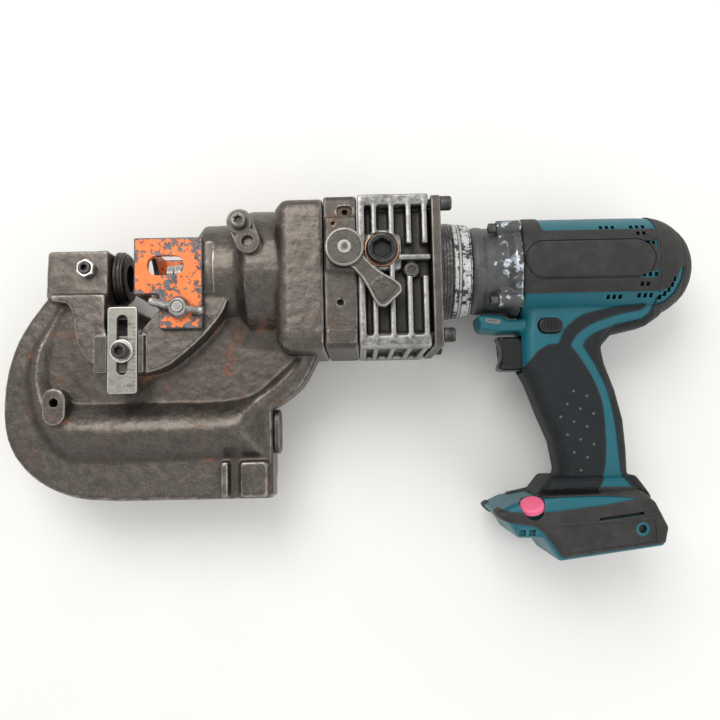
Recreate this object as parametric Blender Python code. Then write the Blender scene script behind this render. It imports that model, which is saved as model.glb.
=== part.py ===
"""Cordless electro-hydraulic hole puncher, lying on its side.

Axes in the built frame: +X runs from the C-frame to the motor, +Y from the battery foot
to the cylinder, +Z is up.  Every size below is in millimetres in a working frame whose
datum is the punch axis (X = 0 at the joint of valve block and pump case, Z = 0 on the
mid plane); DATUM moves it to the base point and MM turns it into metres.
"""

import math

import bmesh
import bpy
from mathutils import Matrix, Vector

MM = 0.001
DATUM = Vector((5.25, 74.6, 48.0))

# C-frame
WEB_HALF = 14.0
BAND_HALF = 26.0
CHEEK_HALF = 30.0
DIE_BLOCK_HALF = 24.0
BARREL_FRONT, BARREL_BACK = -109.0, -22.0
BORE_R, BORE_FRONT = 27.2, -90.0
ROD_GUIDE_R = 14.0
FLANGE_TOP, FLANGE_BOTTOM, FLANGE_HALF = 42.0, -57.0, 47.0

# Ram, punch and die
ROD_R, PISTON_R = 13.7, 26.7
PISTON_FRONT, PISTON_BACK = -40.0, -28.0
PUNCH_R, PUNCH_TIP = 8.7, -131.0
DIE_R, DIE_FACE, DIE_HOLE_R = 18.3, -157.0, 9.3

# Stripper and throat gauge
PLATE_IN, PLATE_OUT = 31.0, 35.0
WING_AT = (-115.5, -26.6)
GAUGE_SCREW_AT = (-152.5, -53.8)

# Hydraulic head
BLOCK_HALF = 48.0
BLOCK_TOP, BLOCK_BOTTOM = 42.3, -56.5
LEVER_AT = (-8.3, 6.2)
LEVER_ANGLE = math.radians(-48.0)
PLUG_AT = (15.2, 6.2)
FIN_X = (10.5, 21.5, 32.5, 42.5)
FIN_THICK = 3.6
CHAMBER_R = 25.0
BOLT_Y = (36.5, -48.5)
BOLT_Z = 42.0

# Drive
ECCENTRICITY = 1.5
MODULE = 1.5
SUN_TEETH, PLANET_TEETH, RING_TEETH = 8, 10, 28
PLANET_ORBIT = MODULE * (SUN_TEETH + PLANET_TEETH) / 2.0
GEAR_X0, GEAR_X1 = 83.0, 95.0
MOTOR_R = 35.0
GRIP_HALF = 18.0
FOOT_HALF = 37.0
SWITCH_BUTTON_AT = (124.0, -43.4)
FOOT_BUTTON_AT = (106.5, -156.4, 33.2)
FOOT_BUTTON_AXIS = (-0.19, 0.81, 0.55)

WEB = (
    (-205, -8), (-213, -19), (-222, -31), (-229, -43), (-234.5, -58), (-237.5, -75),
    (-238, -92), (-236, -108), (-230, -121), (-219, -134), (-204, -143.5), (-186, -149.5),
    (-160, -151), (-58.6, -151), (-58.6, -91.5), (-51, -87), (-40, -79),
    (-34, -70), (-28, -58), (-24, -51), (-24, -10), (-107, -10), (-109, -20), (-126, -22),
    (-141, -38), (-143.3, -43.7), (-149, -46), (-157, -46), (-162.7, -43.7), (-165, -38),
    (-165, -8),
)
BAND = (
    (-203, -15), (-211, -31), (-222.6, -47), (-226, -65), (-224.6, -84), (-219, -103),
    (-208, -118.5), (-196, -127.5), (-138, -128), (-60.5, -127), (-60.5, -93), (-52.5, -88.5),
    (-41.5, -80), (-35, -70), (-30, -58), (-26, -50), (-26, -37.5), (-44.5, -37.5),
    (-45.5, -56), (-72, -80), (-92, -83), (-189, -83), (-200, -77), (-203.5, -68),
    (-202, -42), (-193, -26), (-186, -15),
)
CHEEK = (
    (-202, -15), (-201, -19.5), (-190, -21.5), (-186, -29), (-185, -45), (-178, -58.5),
    (-168, -65), (-149, -69.4), (-136, -68), (-123, -63.5), (-103, -47), (-87, -31),
    (-75, -22), (-96, -20), (-126, -22), (-141, -38), (-143.3, -43.7), (-149, -46),
    (-157, -46), (-162.7, -43.7), (-165, -38), (-165, -15),
)
DIE_BLOCK = ((-203, -17), (-203, 9), (-198, 15), (-165, 15), (-165, -17))
GRIP = (
    (109, -12), (198, -12), (205.5, -33), (193, -41.5), (170, -46.5), (162, -55),
    (164, -66.5), (170, -84), (174.5, -104), (175.6, -124), (175.6, -153), (126, -153),
    (130, -136), (127, -118), (119.8, -100), (112.5, -79), (104, -70), (104, -46), (109, -38),
)
FOOT = (
    (84.5, -163), (96, -174), (102, -181.5), (117, -181.5), (126, -193), (198, -184.5),
    (200.5, -172), (186, -154), (176, -149), (124, -149), (98, -156),
)

MATERIALS = {
    "forged_steel": ((0.115, 0.098, 0.085), 0.85, 0.42),
    "bright_steel": ((0.52, 0.51, 0.48), 1.0, 0.28),
    "black_oxide": ((0.022, 0.022, 0.024), 0.8, 0.38),
    "orange_paint": ((0.82, 0.20, 0.05), 0.0, 0.42),
    "cast_aluminium": ((0.33, 0.32, 0.30), 0.9, 0.45),
    "teal_plastic": ((0.012, 0.15, 0.19), 0.0, 0.45),
    "rubber": ((0.030, 0.031, 0.032), 0.0, 0.75),
    "pink_plastic": ((0.85, 0.15, 0.28), 0.0, 0.4),
    "copper": ((0.75, 0.33, 0.18), 1.0, 0.35),
    "seal": ((0.25, 0.18, 0.10), 0.0, 0.6),
}


def mesh_object(verts, faces):
    """Link a new object made from working-frame points and faces, facing outwards."""
    mesh = bpy.data.meshes.new("solid")
    mesh.from_pydata([tuple(v) for v in verts], [], faces)
    bm = bmesh.new()
    bm.from_mesh(mesh)
    bmesh.ops.recalc_face_normals(bm, faces=bm.faces)
    bm.to_mesh(mesh)
    bm.free()
    obj = bpy.data.objects.new("solid", mesh)
    bpy.context.scene.collection.objects.link(obj)
    return obj


def loft(rings):
    """Closed solid through rings of equal point count, with flat ends."""
    count = len(rings[0])
    verts = [p for ring in rings for p in ring]
    faces = [tuple(range(count))[::-1]]
    for k in range(len(rings) - 1):
        a, b = k * count, (k + 1) * count
        for i in range(count):
            j = (i + 1) % count
            faces.append((a + i, a + j, b + j, b + i))
    last = (len(rings) - 1) * count
    faces.append(tuple(last + i for i in range(count)))
    return mesh_object(verts, faces)


def area(outline):
    """Signed area of a plane outline."""
    return 0.5 * sum(
        a[0] * b[1] - b[0] * a[1] for a, b in zip(outline, outline[1:] + outline[:1])
    )


def inset(outline, distance):
    """Outline moved inwards by a distance, one mitred point per corner."""
    pts = [Vector(p) for p in outline]
    side = 1.0 if area(list(outline)) > 0 else -1.0
    moved = []
    for i, p in enumerate(pts):
        before = (p - pts[i - 1]).normalized()
        after = (pts[(i + 1) % len(pts)] - p).normalized()
        n0 = Vector((-before.y, before.x)) * side
        n1 = Vector((-after.y, after.x)) * side
        mitre = (n0 + n1).normalized()
        moved.append(p + mitre * min(distance / max(mitre.dot(n0), 0.35), 2.5 * distance))
    return [tuple(p) for p in moved]


def on_plane(point, height, plane):
    """Plane coordinates and height as a working-frame point."""
    u, v = point
    return {"xy": (u, v, height), "yz": (height, u, v)}[plane]


def prism(outline, low, high, steps=((0.0, 0.0),), plane="xy"):
    """Extruded outline; steps lists (inset, depth below the face) from edge to face."""
    outline = list(outline)
    levels = [(high - d, i) for i, d in steps]
    levels = [(low + d, i) for i, d in reversed(steps)] + levels
    rings = []
    for height, amount in levels:
        ring = inset(outline, amount) if amount else outline
        rings.append([on_plane(p, height, plane) for p in ring])
    return loft(rings)


def rounded(outline_half, radius, centre=(0.0, 0.0), per_corner=4):
    """Rounded rectangle outline, counter-clockwise."""
    hu, hv = outline_half
    points = []
    for corner, (su, sv) in enumerate(((1, 1), (-1, 1), (-1, -1), (1, -1))):
        for k in range(per_corner):
            angle = math.pi / 2.0 * (corner + k / (per_corner - 1))
            points.append((
                centre[0] + su * (hu - radius) + radius * math.cos(angle),
                centre[1] + sv * (hv - radius) + radius * math.sin(angle),
            ))
    return points


def obround(a, b, radius, per_end=7):
    """Outline of a slot from centre a to centre b."""
    a, b = Vector(a), Vector(b)
    heading = math.atan2((b - a).y, (b - a).x)
    points = []
    for centre, start in ((b, -0.5), (a, 0.5)):
        for k in range(per_end):
            angle = heading + math.pi * (start + k / (per_end - 1))
            points.append((centre.x + radius * math.cos(angle),
                           centre.y + radius * math.sin(angle)))
    return points


def circle(centre, radius, count, phase=0.0):
    """Regular polygon outline."""
    return [
        (centre[0] + radius * math.cos(phase + 2 * math.pi * k / count),
         centre[1] + radius * math.sin(phase + 2 * math.pi * k / count))
        for k in range(count)
    ]


def axis_frame(origin, axis):
    """Matrix taking +X at the origin to the given axis at a point."""
    turn = Vector((1, 0, 0)).rotation_difference(Vector(axis).normalized())
    return Matrix.Translation(Vector(origin)) @ turn.to_matrix().to_4x4()


def lathe(profile, count=24, origin=(0, 0, 0), axis=(1, 0, 0), tube=False):
    """Body of revolution; profile holds (distance along the axis, radius)."""
    place = axis_frame(origin, axis)
    verts, rows = [], []
    for along, radius in profile:
        if radius <= 0.0:
            rows.append([len(verts)] * count)
            verts.append(place @ Vector((along, 0, 0)))
            continue
        rows.append(list(range(len(verts), len(verts) + count)))
        for k in range(count):
            turn = 2 * math.pi * k / count
            verts.append(place @ Vector((along, radius * math.cos(turn),
                                         radius * math.sin(turn))))
    faces = []
    pairs = list(zip(rows, rows[1:] + rows[:1])) if tube else list(zip(rows, rows[1:]))
    for lower, upper in pairs:
        for k in range(count):
            j = (k + 1) % count
            face = [lower[k], lower[j], upper[j], upper[k]]
            face = [v for i, v in enumerate(face) if v != face[i - 1]]
            faces.append(tuple(face))
    return mesh_object(verts, faces)


def rod(origin, axis, low, high, radius, count=16):
    """Plain round bar along an axis."""
    return lathe([(low, 0), (low, radius), (high, radius), (high, 0)], count, origin, axis)


def ring(origin, axis, low, high, inner, outer, count=24):
    """Plain tube along an axis."""
    loop = [(low, inner), (low, outer), (high, outer), (high, inner)]
    return lathe(loop, count, origin, axis, tube=True)


def box(low, high):
    """Rectangular block between two corners."""
    outline = [(low[0], low[1]), (high[0], low[1]), (high[0], high[1]), (low[0], high[1])]
    return prism(outline, low[2], high[2])


def tidy(obj):
    """Weld coincident points and drop slivers."""
    bm = bmesh.new()
    bm.from_mesh(obj.data)
    bmesh.ops.remove_doubles(bm, verts=bm.verts, dist=0.0005)
    bmesh.ops.dissolve_degenerate(bm, edges=bm.edges, dist=0.0005)
    bm.to_mesh(obj.data)
    bm.free()
    return obj


def combine(base, others, operation):
    """Boolean the base with each other body in turn."""
    for other in others:
        tidy(base)
        tidy(other)
        step = base.modifiers.new("combine", "BOOLEAN")
        step.solver = "EXACT"
        step.operation = operation
        step.object = other
        graph = bpy.context.evaluated_depsgraph_get()
        mesh = bpy.data.meshes.new_from_object(base.evaluated_get(graph))
        base.modifiers.clear()
        old = base.data
        base.data = mesh
        bpy.data.meshes.remove(old)
        bpy.data.objects.remove(other)
    return base


def join(base, *others):
    """Union."""
    return combine(base, others, "UNION")


def cut(base, *others):
    """Difference."""
    return combine(base, others, "DIFFERENCE")


def keep(base, other):
    """Intersection."""
    return combine(base, [other], "INTERSECT")


def material(key):
    """Principled material by palette key."""
    found = bpy.data.materials.get(key)
    if found:
        return found
    colour, metallic, roughness = MATERIALS[key]
    made = bpy.data.materials.new(key)
    made.use_nodes = True
    shader = made.node_tree.nodes["Principled BSDF"]
    shader.inputs["Base Color"].default_value = (*colour, 1.0)
    shader.inputs["Metallic"].default_value = metallic
    shader.inputs["Roughness"].default_value = roughness
    return made


def publish(obj, name, key, pivot=(0, 0, 0)):
    """Name a finished body, give it its material and set its origin on the pivot."""
    tidy(obj)
    pivot = Vector(pivot)
    for vertex in obj.data.vertices:
        vertex.co = (vertex.co - pivot) * MM
    obj.location = (pivot + DATUM) * MM
    obj.name = name
    obj.data.name = name
    obj.data.materials.clear()
    obj.data.materials.append(material(key))
    return obj


def socket_screw(name, origin, axis, head, stem_end, key="black_oxide"):
    """Cap screw: head is (low, high, radius) along the axis, the stem runs to stem_end."""
    low, high, radius = head
    stem, socket = radius * 0.6, radius * 0.52
    floor = high - 0.5 * (high - low)
    profile = [(stem_end, 0), (stem_end, stem), (low, stem), (low, radius),
               (high, radius), (high, socket), (floor, socket), (floor, 0)]
    return publish(lathe(profile, 8, origin, axis), name, key)


def build_c_frame():
    """Forged C-frame with cylinder barrel, die block and mounting flange."""
    flange_mid = ((FLANGE_TOP + FLANGE_BOTTOM) / 2, 0.0)
    flange_half = ((FLANGE_TOP - FLANGE_BOTTOM) / 2, FLANGE_HALF)
    flange = rounded(flange_half, 22, flange_mid, 5)
    body = prism(WEB, -WEB_HALF, WEB_HALF, ((0, 4), (3, 0)))
    parts = [
        prism(BAND, -BAND_HALF, BAND_HALF, ((0, 4), (4, 0))),
        prism(CHEEK, -CHEEK_HALF, CHEEK_HALF, ((0, 1.5), (1.5, 0))),
        prism(DIE_BLOCK, -DIE_BLOCK_HALF, DIE_BLOCK_HALF, ((0, 2), (2, 0))),
        lathe([(BARREL_FRONT, 0), (BARREL_FRONT, 22), (-96, 35.2), (-80, 35.2),
               (-77, 38), (-73, 43.8), (-30, 43.8), (-30, 0)], 32),
        loft([[(x, *p) for p in inset(flange, amount)]
              for x, amount in ((-56, 7), (-48, 1.5), (-44, 0), (BARREL_BACK, 0))]),
        prism(obround((-74.8, 26.1), (-69.7, 13.4), 8, 5), 20, 43.7),
        prism(obround((-198.6, -83.5), (-198.6, -95.5), 7.75, 5), 20, 30, ((0, 1), (1, 0))),
        box((-92, -149, -22), (-87, -126, 22)),
        box((-80, -149, -20), (-62, -126, 20)),
    ]
    join(body, *parts)
    cut(body,
        rod((0, 0, 0), (1, 0, 0), BORE_FRONT, BARREL_BACK + 5, BORE_R, 28),
        rod((0, 0, 0), (1, 0, 0), BARREL_FRONT - 5, BORE_FRONT + 5, ROD_GUIDE_R, 24),
        rod((0, 0, 0), (1, 0, 0), -180, -160, 14, 20),
        rod((0, 0, 0), (1, 0, 0), -215, -170, 10, 20),
        box((-115, -45, 30.5), (-93.5, 45, 60)),
        box((-115, -45, -60), (-93.5, 45, -30.5)),
        box((-171.4, -67.9, 26.7), (-138.6, -43.1, 35)),
        rod((-178.7, 2.1, 0), (0, 0, 1), 13, 30, 4.3, 8),
        rod((*GAUGE_SCREW_AT, 0), (0, 0, 1), 10, 35, 3.5, 8),
        rod((*WING_AT, 0), (0, 0, 1), -35, 35, 3.5, 8),
        rod((-74.8, 26.1, 0), (0, 0, 1), 24, 50, 3.5, 8),
        rod((-198.2, -85.7, 0), (0, 0, 1), 14, 35, 2.9, 8))
    return publish(body, "c_frame", "forged_steel")


def build_die():
    """Die button, its lock nut and set screw, and the oval plate on the frame's end."""
    loop = [(-179.7, 9.8), (-179.7, 13.7), (-164.7, 13.7), (-164.7, DIE_R), (-159, DIE_R),
            (-158.2, 16.6), (DIE_FACE, 16.2), (DIE_FACE, DIE_HOLE_R), (-162, DIE_HOLE_R)]
    publish(lathe(loop, 20, tube=True), "die", "bright_steel")
    nut = prism(circle((-178.7, 2.1), 6.3, 6, 0.4), 24.3, 30, ((0, 1), (0.8, 0)))
    cut(nut, rod((-178.7, 2.1, 0), (0, 0, 1), 20, 35, 4.3, 8))
    publish(nut, "die_lock_nut", "bright_steel")
    screw = rod((-178.7, 2.1, 0), (0, 0, 1), 14.2, 31.5, 3.9, 8)
    cut(screw, rod((-178.7, 2.1, 0), (0, 0, 1), 27.5, 35, 2.2, 6))
    publish(screw, "die_set_screw", "black_oxide")
    plate = prism(rounded((14.75, 10), 9.5, (-107.2, 0), 4), -58.2, -53.8,
                  ((0, 1), (1, 0)), "yz")
    for y in (-116, -98.5):
        cut(plate, rod((0, y, 0), (1, 0, 0), -56, -50, 2.6, 8))
    publish(plate, "frame_end_plate", "forged_steel")


def build_ram():
    """Ram with piston, its seal, the punch, the union nut and the return spring."""
    groove = 24.0
    profile = [(-110, 0), (-110, ROD_R - 1), (-109, ROD_R), (PISTON_FRONT, ROD_R),
               (PISTON_FRONT, PISTON_R), (-36, PISTON_R), (-36, groove), (-32, groove),
               (-32, PISTON_R), (PISTON_BACK, PISTON_R), (PISTON_BACK, 0)]
    publish(lathe(profile, 24), "ram", "bright_steel")
    publish(ring((0, 0, 0), (1, 0, 0), -35.7, -32.3, groove + 0.3, 26.8, 24),
            "piston_seal", "seal")
    punch = [(PUNCH_TIP, 0), (PUNCH_TIP, 8.2), (-126, 8.2), (-125, PUNCH_R),
             (-110.3, PUNCH_R), (-110.3, 0)]
    publish(lathe(punch, 20), "punch", "bright_steel")
    nut = [(-118, 9.0), (-118, 12.4), (-117, 13.4), (-110.3, 13.4), (-110.3, 9.0)]
    publish(lathe(nut, 20, tube=True), "punch_nut", "black_oxide")
    publish(coil(20.5, 2.2, 4.5, -87.5, -42.5, 11, 5, (0, 0, 0)), "return_spring",
            "black_oxide", (-90, 0, 0))


def coil(radius, wire, turns, start, end, steps, sides, centre):
    """Round-wire spring along X."""
    count = int(turns * steps)
    rings = []
    for k in range(count + 1):
        t = k / count
        turn = 2 * math.pi * turns * t
        out = Vector((0, math.cos(turn), math.sin(turn)))
        along = Vector((1, 0, 0))
        middle = Vector(centre) + Vector((start + (end - start) * t, 0, 0)) + out * radius
        rings.append([
            middle + wire * (out * math.cos(a) + along * math.sin(a))
            for a in (2 * math.pi * s / sides for s in range(sides))
        ])
    return loft(rings)


def build_stripper():
    """Orange stripper, its wing bolt on the near side and hex bolt on the far side."""
    cheek = ((-145, -17.3), (-145, 19.7), (-100.7, 19.7), (-100.7, -40), (-128.7, -40),
             (-128.7, -17.3))
    body = box((-145, -17.3, -33), (-141, 19.7, 33))
    join(body, prism(cheek, PLATE_IN, PLATE_OUT), prism(cheek, -PLATE_OUT, -PLATE_IN))
    cut(body,
        rod((0, 0, 0), (1, 0, 0), -150, -135, 14.6, 20),
        prism(obround((-130.3, 1.5), (-118.8, 1.5), 6.5), -50, 50),
        prism(obround((-121.2, WING_AT[1]), (WING_AT[0], WING_AT[1]), 3.6, 6), -50, 50))
    publish(body, "stripper", "orange_paint")
    wing = lathe([(12, 0), (12, 3), (35.3, 3), (35.3, 7.5), (38, 7.5), (42, 5.5), (42, 0)],
                 18, (*WING_AT, 0), (0, 0, 1))
    for side in (0.0, math.pi):
        heading = Vector((math.cos(side - 0.2), math.sin(side - 0.2)))
        across = Vector((-heading.y, heading.x)) * 1.9
        base = Vector(WING_AT)
        lobe = []
        for reach, low, high in ((3, 36, 41), (10, 36.5, 43), (16, 37.5, 47), (18, 40, 46)):
            for point in (base + heading * reach + across, base + heading * reach - across):
                lobe.append((point, low, high))
        rings = [[(*lobe[k][0], lobe[k][1]), (*lobe[k + 1][0], lobe[k][1]),
                  (*lobe[k + 1][0], lobe[k][2]), (*lobe[k][0], lobe[k][2])]
                 for k in range(0, 8, 2)]
        join(wing, loft(rings))
    publish(wing, "wing_bolt", "bright_steel", (*WING_AT, 35))
    bolt = prism(circle(WING_AT, 7.5, 6), -41, -35.3)
    join(bolt, rod((*WING_AT, 0), (0, 0, 1), -36, -12, 3, 14))
    publish(bolt, "stripper_far_bolt", "bright_steel")


def build_gauge():
    """Throat-depth gauge: saddle, slotted rule, stop block, washer and clamp screw."""
    saddle = box((-171, -67.5, 27), (-139, -43.5, 31))
    join(saddle, box((-171, -67.5, 29), (-162.6, -43.5, 33.6)),
         box((-142.6, -67.5, 29), (-139, -43.5, 33.6)))
    cut(saddle, rod((*GAUGE_SCREW_AT, 0), (0, 0, 1), 20, 40, 3.4, 12))
    publish(saddle, "gauge_saddle", "forged_steel")
    plate = prism(rounded((9.5, 28), 2, (-152.5, -53), 3), 31.3, 34.3)
    cut(plate, prism(obround((-152.5, -65.4), (-152.5, -33.6), 3.6), 20, 40))
    publish(plate, "gauge_plate", "bright_steel", (-152.5, -53, 31.3))
    nose = prism(rounded((9.5, 3.75), 1, (-152.5, -29.3), 2), -20, 31)
    publish(nose, "gauge_nose", "black_oxide", (-152.5, -29.3, 0))
    publish(ring((*GAUGE_SCREW_AT, 0), (0, 0, 1), 34.6, 36, 3.4, 7.5, 20),
            "gauge_washer", "bright_steel")
    socket_screw("gauge_clamp_screw", (*GAUGE_SCREW_AT, 0), (0, 0, 1), (36.3, 42, 5.2), 13)


def build_hanger():
    """Figure-eight hanger link and its screw."""
    link = prism(circle((-74.8, 26.1), 8.1, 12), 44.1, 47.6)
    join(link, prism(circle((-69.7, 13.4), 7.9, 12), 44.1, 47.6),
         prism(obround((-74.8, 26.1), (-69.7, 13.4), 5.5, 3), 44.1, 47.6))
    cut(link, rod((-74.8, 26.1, 0), (0, 0, 1), 35, 50, 3.5, 8),
        rod((-69.7, 13.4, 0), (0, 0, 1), 45, 50, 3.4, 8))
    publish(link, "hanger_link", "bright_steel")
    socket_screw("hanger_link_screw", (-74.8, 26.1, 0), (0, 0, 1), (47.9, 52.2, 5.2), 26)


def build_valve_block():
    """Valve block with its release stem and lever."""
    middle = ((BLOCK_TOP + BLOCK_BOTTOM) / 2, 0.0)
    half = ((BLOCK_TOP - BLOCK_BOTTOM) / 2, BLOCK_HALF)
    block = prism(rounded(half, 12, middle, 4), -21.7, -0.3, ((0, 1.2), (1.2, 0)), "yz")
    cut(block,
        rod((*LEVER_AT, 0), (0, 0, 1), 8, 60, 5.0, 14),
        rod((0, LEVER_AT[1], 8), (1, 0, 0), -30, 10, 4.0, 12))
    publish(block, "valve_block", "forged_steel")
    publish(rod((*LEVER_AT, 0), (0, 0, 1), 13, 48.3, 4.6, 14), "release_valve_stem",
            "bright_steel", (*LEVER_AT, 48.6))
    lever = lathe([(48.6, 0), (48.6, 12.3), (57, 12.3), (58, 11.3), (58, 5), (56.8, 4.6),
                   (56.8, 0)], 20, (*LEVER_AT, 0), (0, 0, 1))
    heading = Vector((math.cos(LEVER_ANGLE), math.sin(LEVER_ANGLE)))
    across = Vector((-heading.y, heading.x))
    widths = ((8, 6), (20, 4.9), (27, 7.2), (36, 8.6), (41, 6.2))
    start = Vector(LEVER_AT)
    left = [tuple(start + heading * s + across * w) for s, w in widths]
    right = [tuple(start + heading * s - across * w) for s, w in widths]
    join(lever, prism(right + left[::-1], 49.5, 56, ((0, 1), (1, 0))))
    publish(lever, "release_lever", "forged_steel", (*LEVER_AT, 48.6))


def build_pump_case():
    """Finned oil and pump case, oil plug, adapter plate and bolts."""
    middle = ((BLOCK_TOP + BLOCK_BOTTOM) / 2, 0.0)
    half_y = (BLOCK_TOP - BLOCK_BOTTOM) / 2
    case = prism(rounded((half_y - 6, BLOCK_HALF - 7), 8, middle, 2), 0, 46.5, plane="yz")
    plates = [(0.0, 4.5)] + [(x - FIN_THICK / 2, x + FIN_THICK / 2) for x in FIN_X]
    for low, high in plates:
        join(case, prism(rounded((half_y, BLOCK_HALF), 10, middle, 2), low, high, plane="yz"))
    join(case, box((2, -11, -46), (44, 15, 46)))
    cut(case,
        rod((0, 0, 0), (1, 0, 0), 3, 50, CHAMBER_R, 24),
        rod((*PLUG_AT, 0), (0, 0, 1), 15, 60, 7.4, 16),
        rod((*PLUG_AT, 0), (0, 0, 1), 46, 60, 12.0, 16),
        rod((20, 0, 0), (0, 1, 0), 20, 33.6, 5.2, 12))
    for y in BOLT_Y:
        for side in (-1, 1):
            cut(case, box((12, y - 3.1, side * BOLT_Z - 3.1), (50, y + 3.1, side * BOLT_Z + 3.1)))
    publish(case, "pump_case", "cast_aluminium")
    publish(ring((*PLUG_AT, 0), (0, 0, 1), 46.3, 47.6, 7.4, 11, 16), "oil_plug_washer",
            "copper")
    plug = lathe([(30, 0), (30, 6.9), (47.9, 6.9), (47.9, 10), (52, 10), (52.6, 9.2),
                  (52.6, 0)], 16, (*PLUG_AT, 0), (0, 0, 1))
    cut(plug, rod((*PLUG_AT, 0), (0, 0, 1), 47, 60, 5.0, 6))
    publish(plug, "oil_plug", "black_oxide")
    plate = prism(rounded((half_y - 0.6, BLOCK_HALF), 10, middle, 4), 47, 53,
                  ((0, 0.8), (0.8, 0)), "yz")
    cut(plate, rod((0, 0, 0), (1, 0, 0), 40, 60, 14, 20))
    number = 0
    for y in BOLT_Y:
        for side in (1, -1):
            number += 1
            cut(plate, rod((0, y, side * BOLT_Z), (1, 0, 0), 40, 60, 3.3, 8))
            socket_screw(f"adapter_bolt_{number}", (0, y, side * BOLT_Z), (1, 0, 0),
                         (53.3, 60.5, 4.7), 13)
    publish(plate, "adapter_plate", "forged_steel")


def gear_outline(teeth, internal=False, phase=0.0):
    """Four points per tooth, counter-clockwise."""
    pitch = MODULE * teeth / 2.0
    tip = pitch - 0.8 * MODULE if internal else pitch + 0.8 * MODULE
    root = pitch + 1.15 * MODULE if internal else pitch - 1.15 * MODULE
    step = 2 * math.pi / teeth
    points = []
    for k in range(teeth):
        middle = phase + k * step
        for radius, share in ((root, -0.26), (tip, -0.12), (tip, 0.12), (root, 0.26)):
            angle = middle + share * step
            points.append((radius * math.cos(angle), radius * math.sin(angle)))
    return points


def gear_bar(teeth, low, high, centre=(0.0, 0.0), phase=0.0):
    """Solid gear along X; angles are measured from +Y towards +Z."""
    outline = [(p[0] + centre[0], p[1] + centre[1]) for p in gear_outline(teeth, False, phase)]
    return prism(outline, low, high, plane="yz")


def build_gearing():
    """Ring gear, eccentric shaft with planet carrier, its bearing, planets and plunger."""
    ring_outline = gear_outline(RING_TEETH, internal=True)
    body = rod((0, 0, 0), (1, 0, 0), GEAR_X0 - 1, GEAR_X1 + 1, 26.0, 28)
    cut(body, prism(ring_outline, GEAR_X0 - 5, GEAR_X1 + 5, plane="yz"))
    publish(body, "ring_gear", "bright_steel")
    shaft = lathe([(4.5, 0), (4.5, 6), (13, 6), (13, 9), (78.6, 9), (78.6, 20), (81.5, 20),
                   (81.5, 0)], 18)
    join(shaft, rod((0, -ECCENTRICITY, 0), (1, 0, 0), 14, 26, 10.9, 18))
    for k in range(3):
        angle = 2 * math.pi * k / 3
        at = (0, PLANET_ORBIT * math.cos(angle), PLANET_ORBIT * math.sin(angle))
        join(shaft, rod(at, (1, 0, 0), 80, GEAR_X1, 2.8, 8))
        theta = angle
        phase = (SUN_TEETH * theta + PLANET_TEETH * (theta + math.pi) - math.pi) / PLANET_TEETH
        gear = gear_bar(PLANET_TEETH, GEAR_X0, GEAR_X1, (at[1], at[2]), phase)
        cut(gear, rod(at, (1, 0, 0), 70, 110, 3.3, 8))
        publish(gear, f"planet_gear_{k + 1}", "bright_steel", (GEAR_X0, at[1], at[2]))
    publish(shaft, "eccentric_shaft", "bright_steel", (20, 0, 0))
    publish(ring((0, -ECCENTRICITY, 0), (1, 0, 0), 15, 25, 11.3, 16, 18),
            "eccentric_bearing", "bright_steel", (20, 0, 0))
    publish(rod((20, 0, 0), (0, 1, 0), 18.1, 33, 4.8, 12), "pump_plunger", "bright_steel",
            (20, 18.1, 0))


def build_drive_case():
    """Bearing collar, lock ring, gear case and its screws."""
    publish(ring((0, 0, 0), (1, 0, 0), 53.3, 62, 20, 33, 28), "bearing_collar", "black_oxide")
    loop = [(62.3, 27), (62.3, 32.6), (66, 32.6), (75, 31.2), (75, 27)]
    publish(lathe(loop, 28, tube=True), "lock_ring", "cast_aluminium")
    loop = [(75.3, 10.5), (75.3, 29), (78, 30), (100, 30), (104, 33.5), (108, 33.5),
            (108, 26.6), (78.2, 26.6), (78.2, 10.5)]
    case = lathe(loop, 28, tube=True)
    number = 0
    for y in (24.0, -24.0):
        for z in (24.0, -24.0):
            number += 1
            boss = rod((0, y, z), (1, 0, 0), 92, 107.9, 5.2, 8)
            cut(boss, rod((0, 0, 0), (1, 0, 0), 80, 120, 27.5, 28))
            join(case, boss)
            cut(case, rod((0, y, z), (1, 0, 0), 85, 107, 2.4, 8))
            socket_screw(f"gear_case_screw_{number}", (0, y, z), (-1, 0, 0),
                         (-91.7, -86.5, 3.4), -106)
    publish(case, "gear_case", "cast_aluminium")


def shell_outside():
    """Solid outer shape of the handle before hollowing."""
    body = lathe([(108.3, 0), (108.3, 33.5), (112, MOTOR_R), (195, MOTOR_R), (207, 32),
                  (215, 26.5), (215, 0)], 28)
    chin = ((77.5, -31), (80.5, -43), (95, -44.5), (114, -44.5), (114, -34.3), (99, -34.3),
            (97, -31))
    rim = ((0, 7), (2, 3), (6, 0))
    join(body,
         prism(GRIP, -GRIP_HALF, GRIP_HALF, rim),
         prism(chin, -14, 14, ((0, 3), (3, 0))),
         prism(FOOT, -FOOT_HALF, FOOT_HALF, ((0, 8), (5, 0))))
    return body


def shell_half(side):
    """One hollow half of the handle; side is +1 for the near half."""
    body = shell_outside()
    cut(body,
        lathe([(100, 0), (100, 31.5), (199, 31.5), (202, 26), (202, 9.3), (211, 9.3),
               (211, 0)], 28),
        prism(inset(GRIP, 3), -15, 15),
        prism(inset(FOOT, 4), -33.5, 33.5),
        box((134, -160, -11), (168, -145, 11)),
        box((130, -205, -30), (192, -175, 30)),
        box((85, -70.5, -9.6), (120, -45.4, 9.6)),
        prism(obround((121, SWITCH_BUTTON_AT[1]), (127, SWITCH_BUTTON_AT[1]), 5.4), -50, 50))
    if side > 0:
        cut(body, rod(FOOT_BUTTON_AT, FOOT_BUTTON_AXIS, -9, 9, 8.1, 20))
    low, high = (0.15, 60.0) if side > 0 else (-60.0, -0.15)
    return keep(body, box((60, -210, low), (240, 60, high)))


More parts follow.
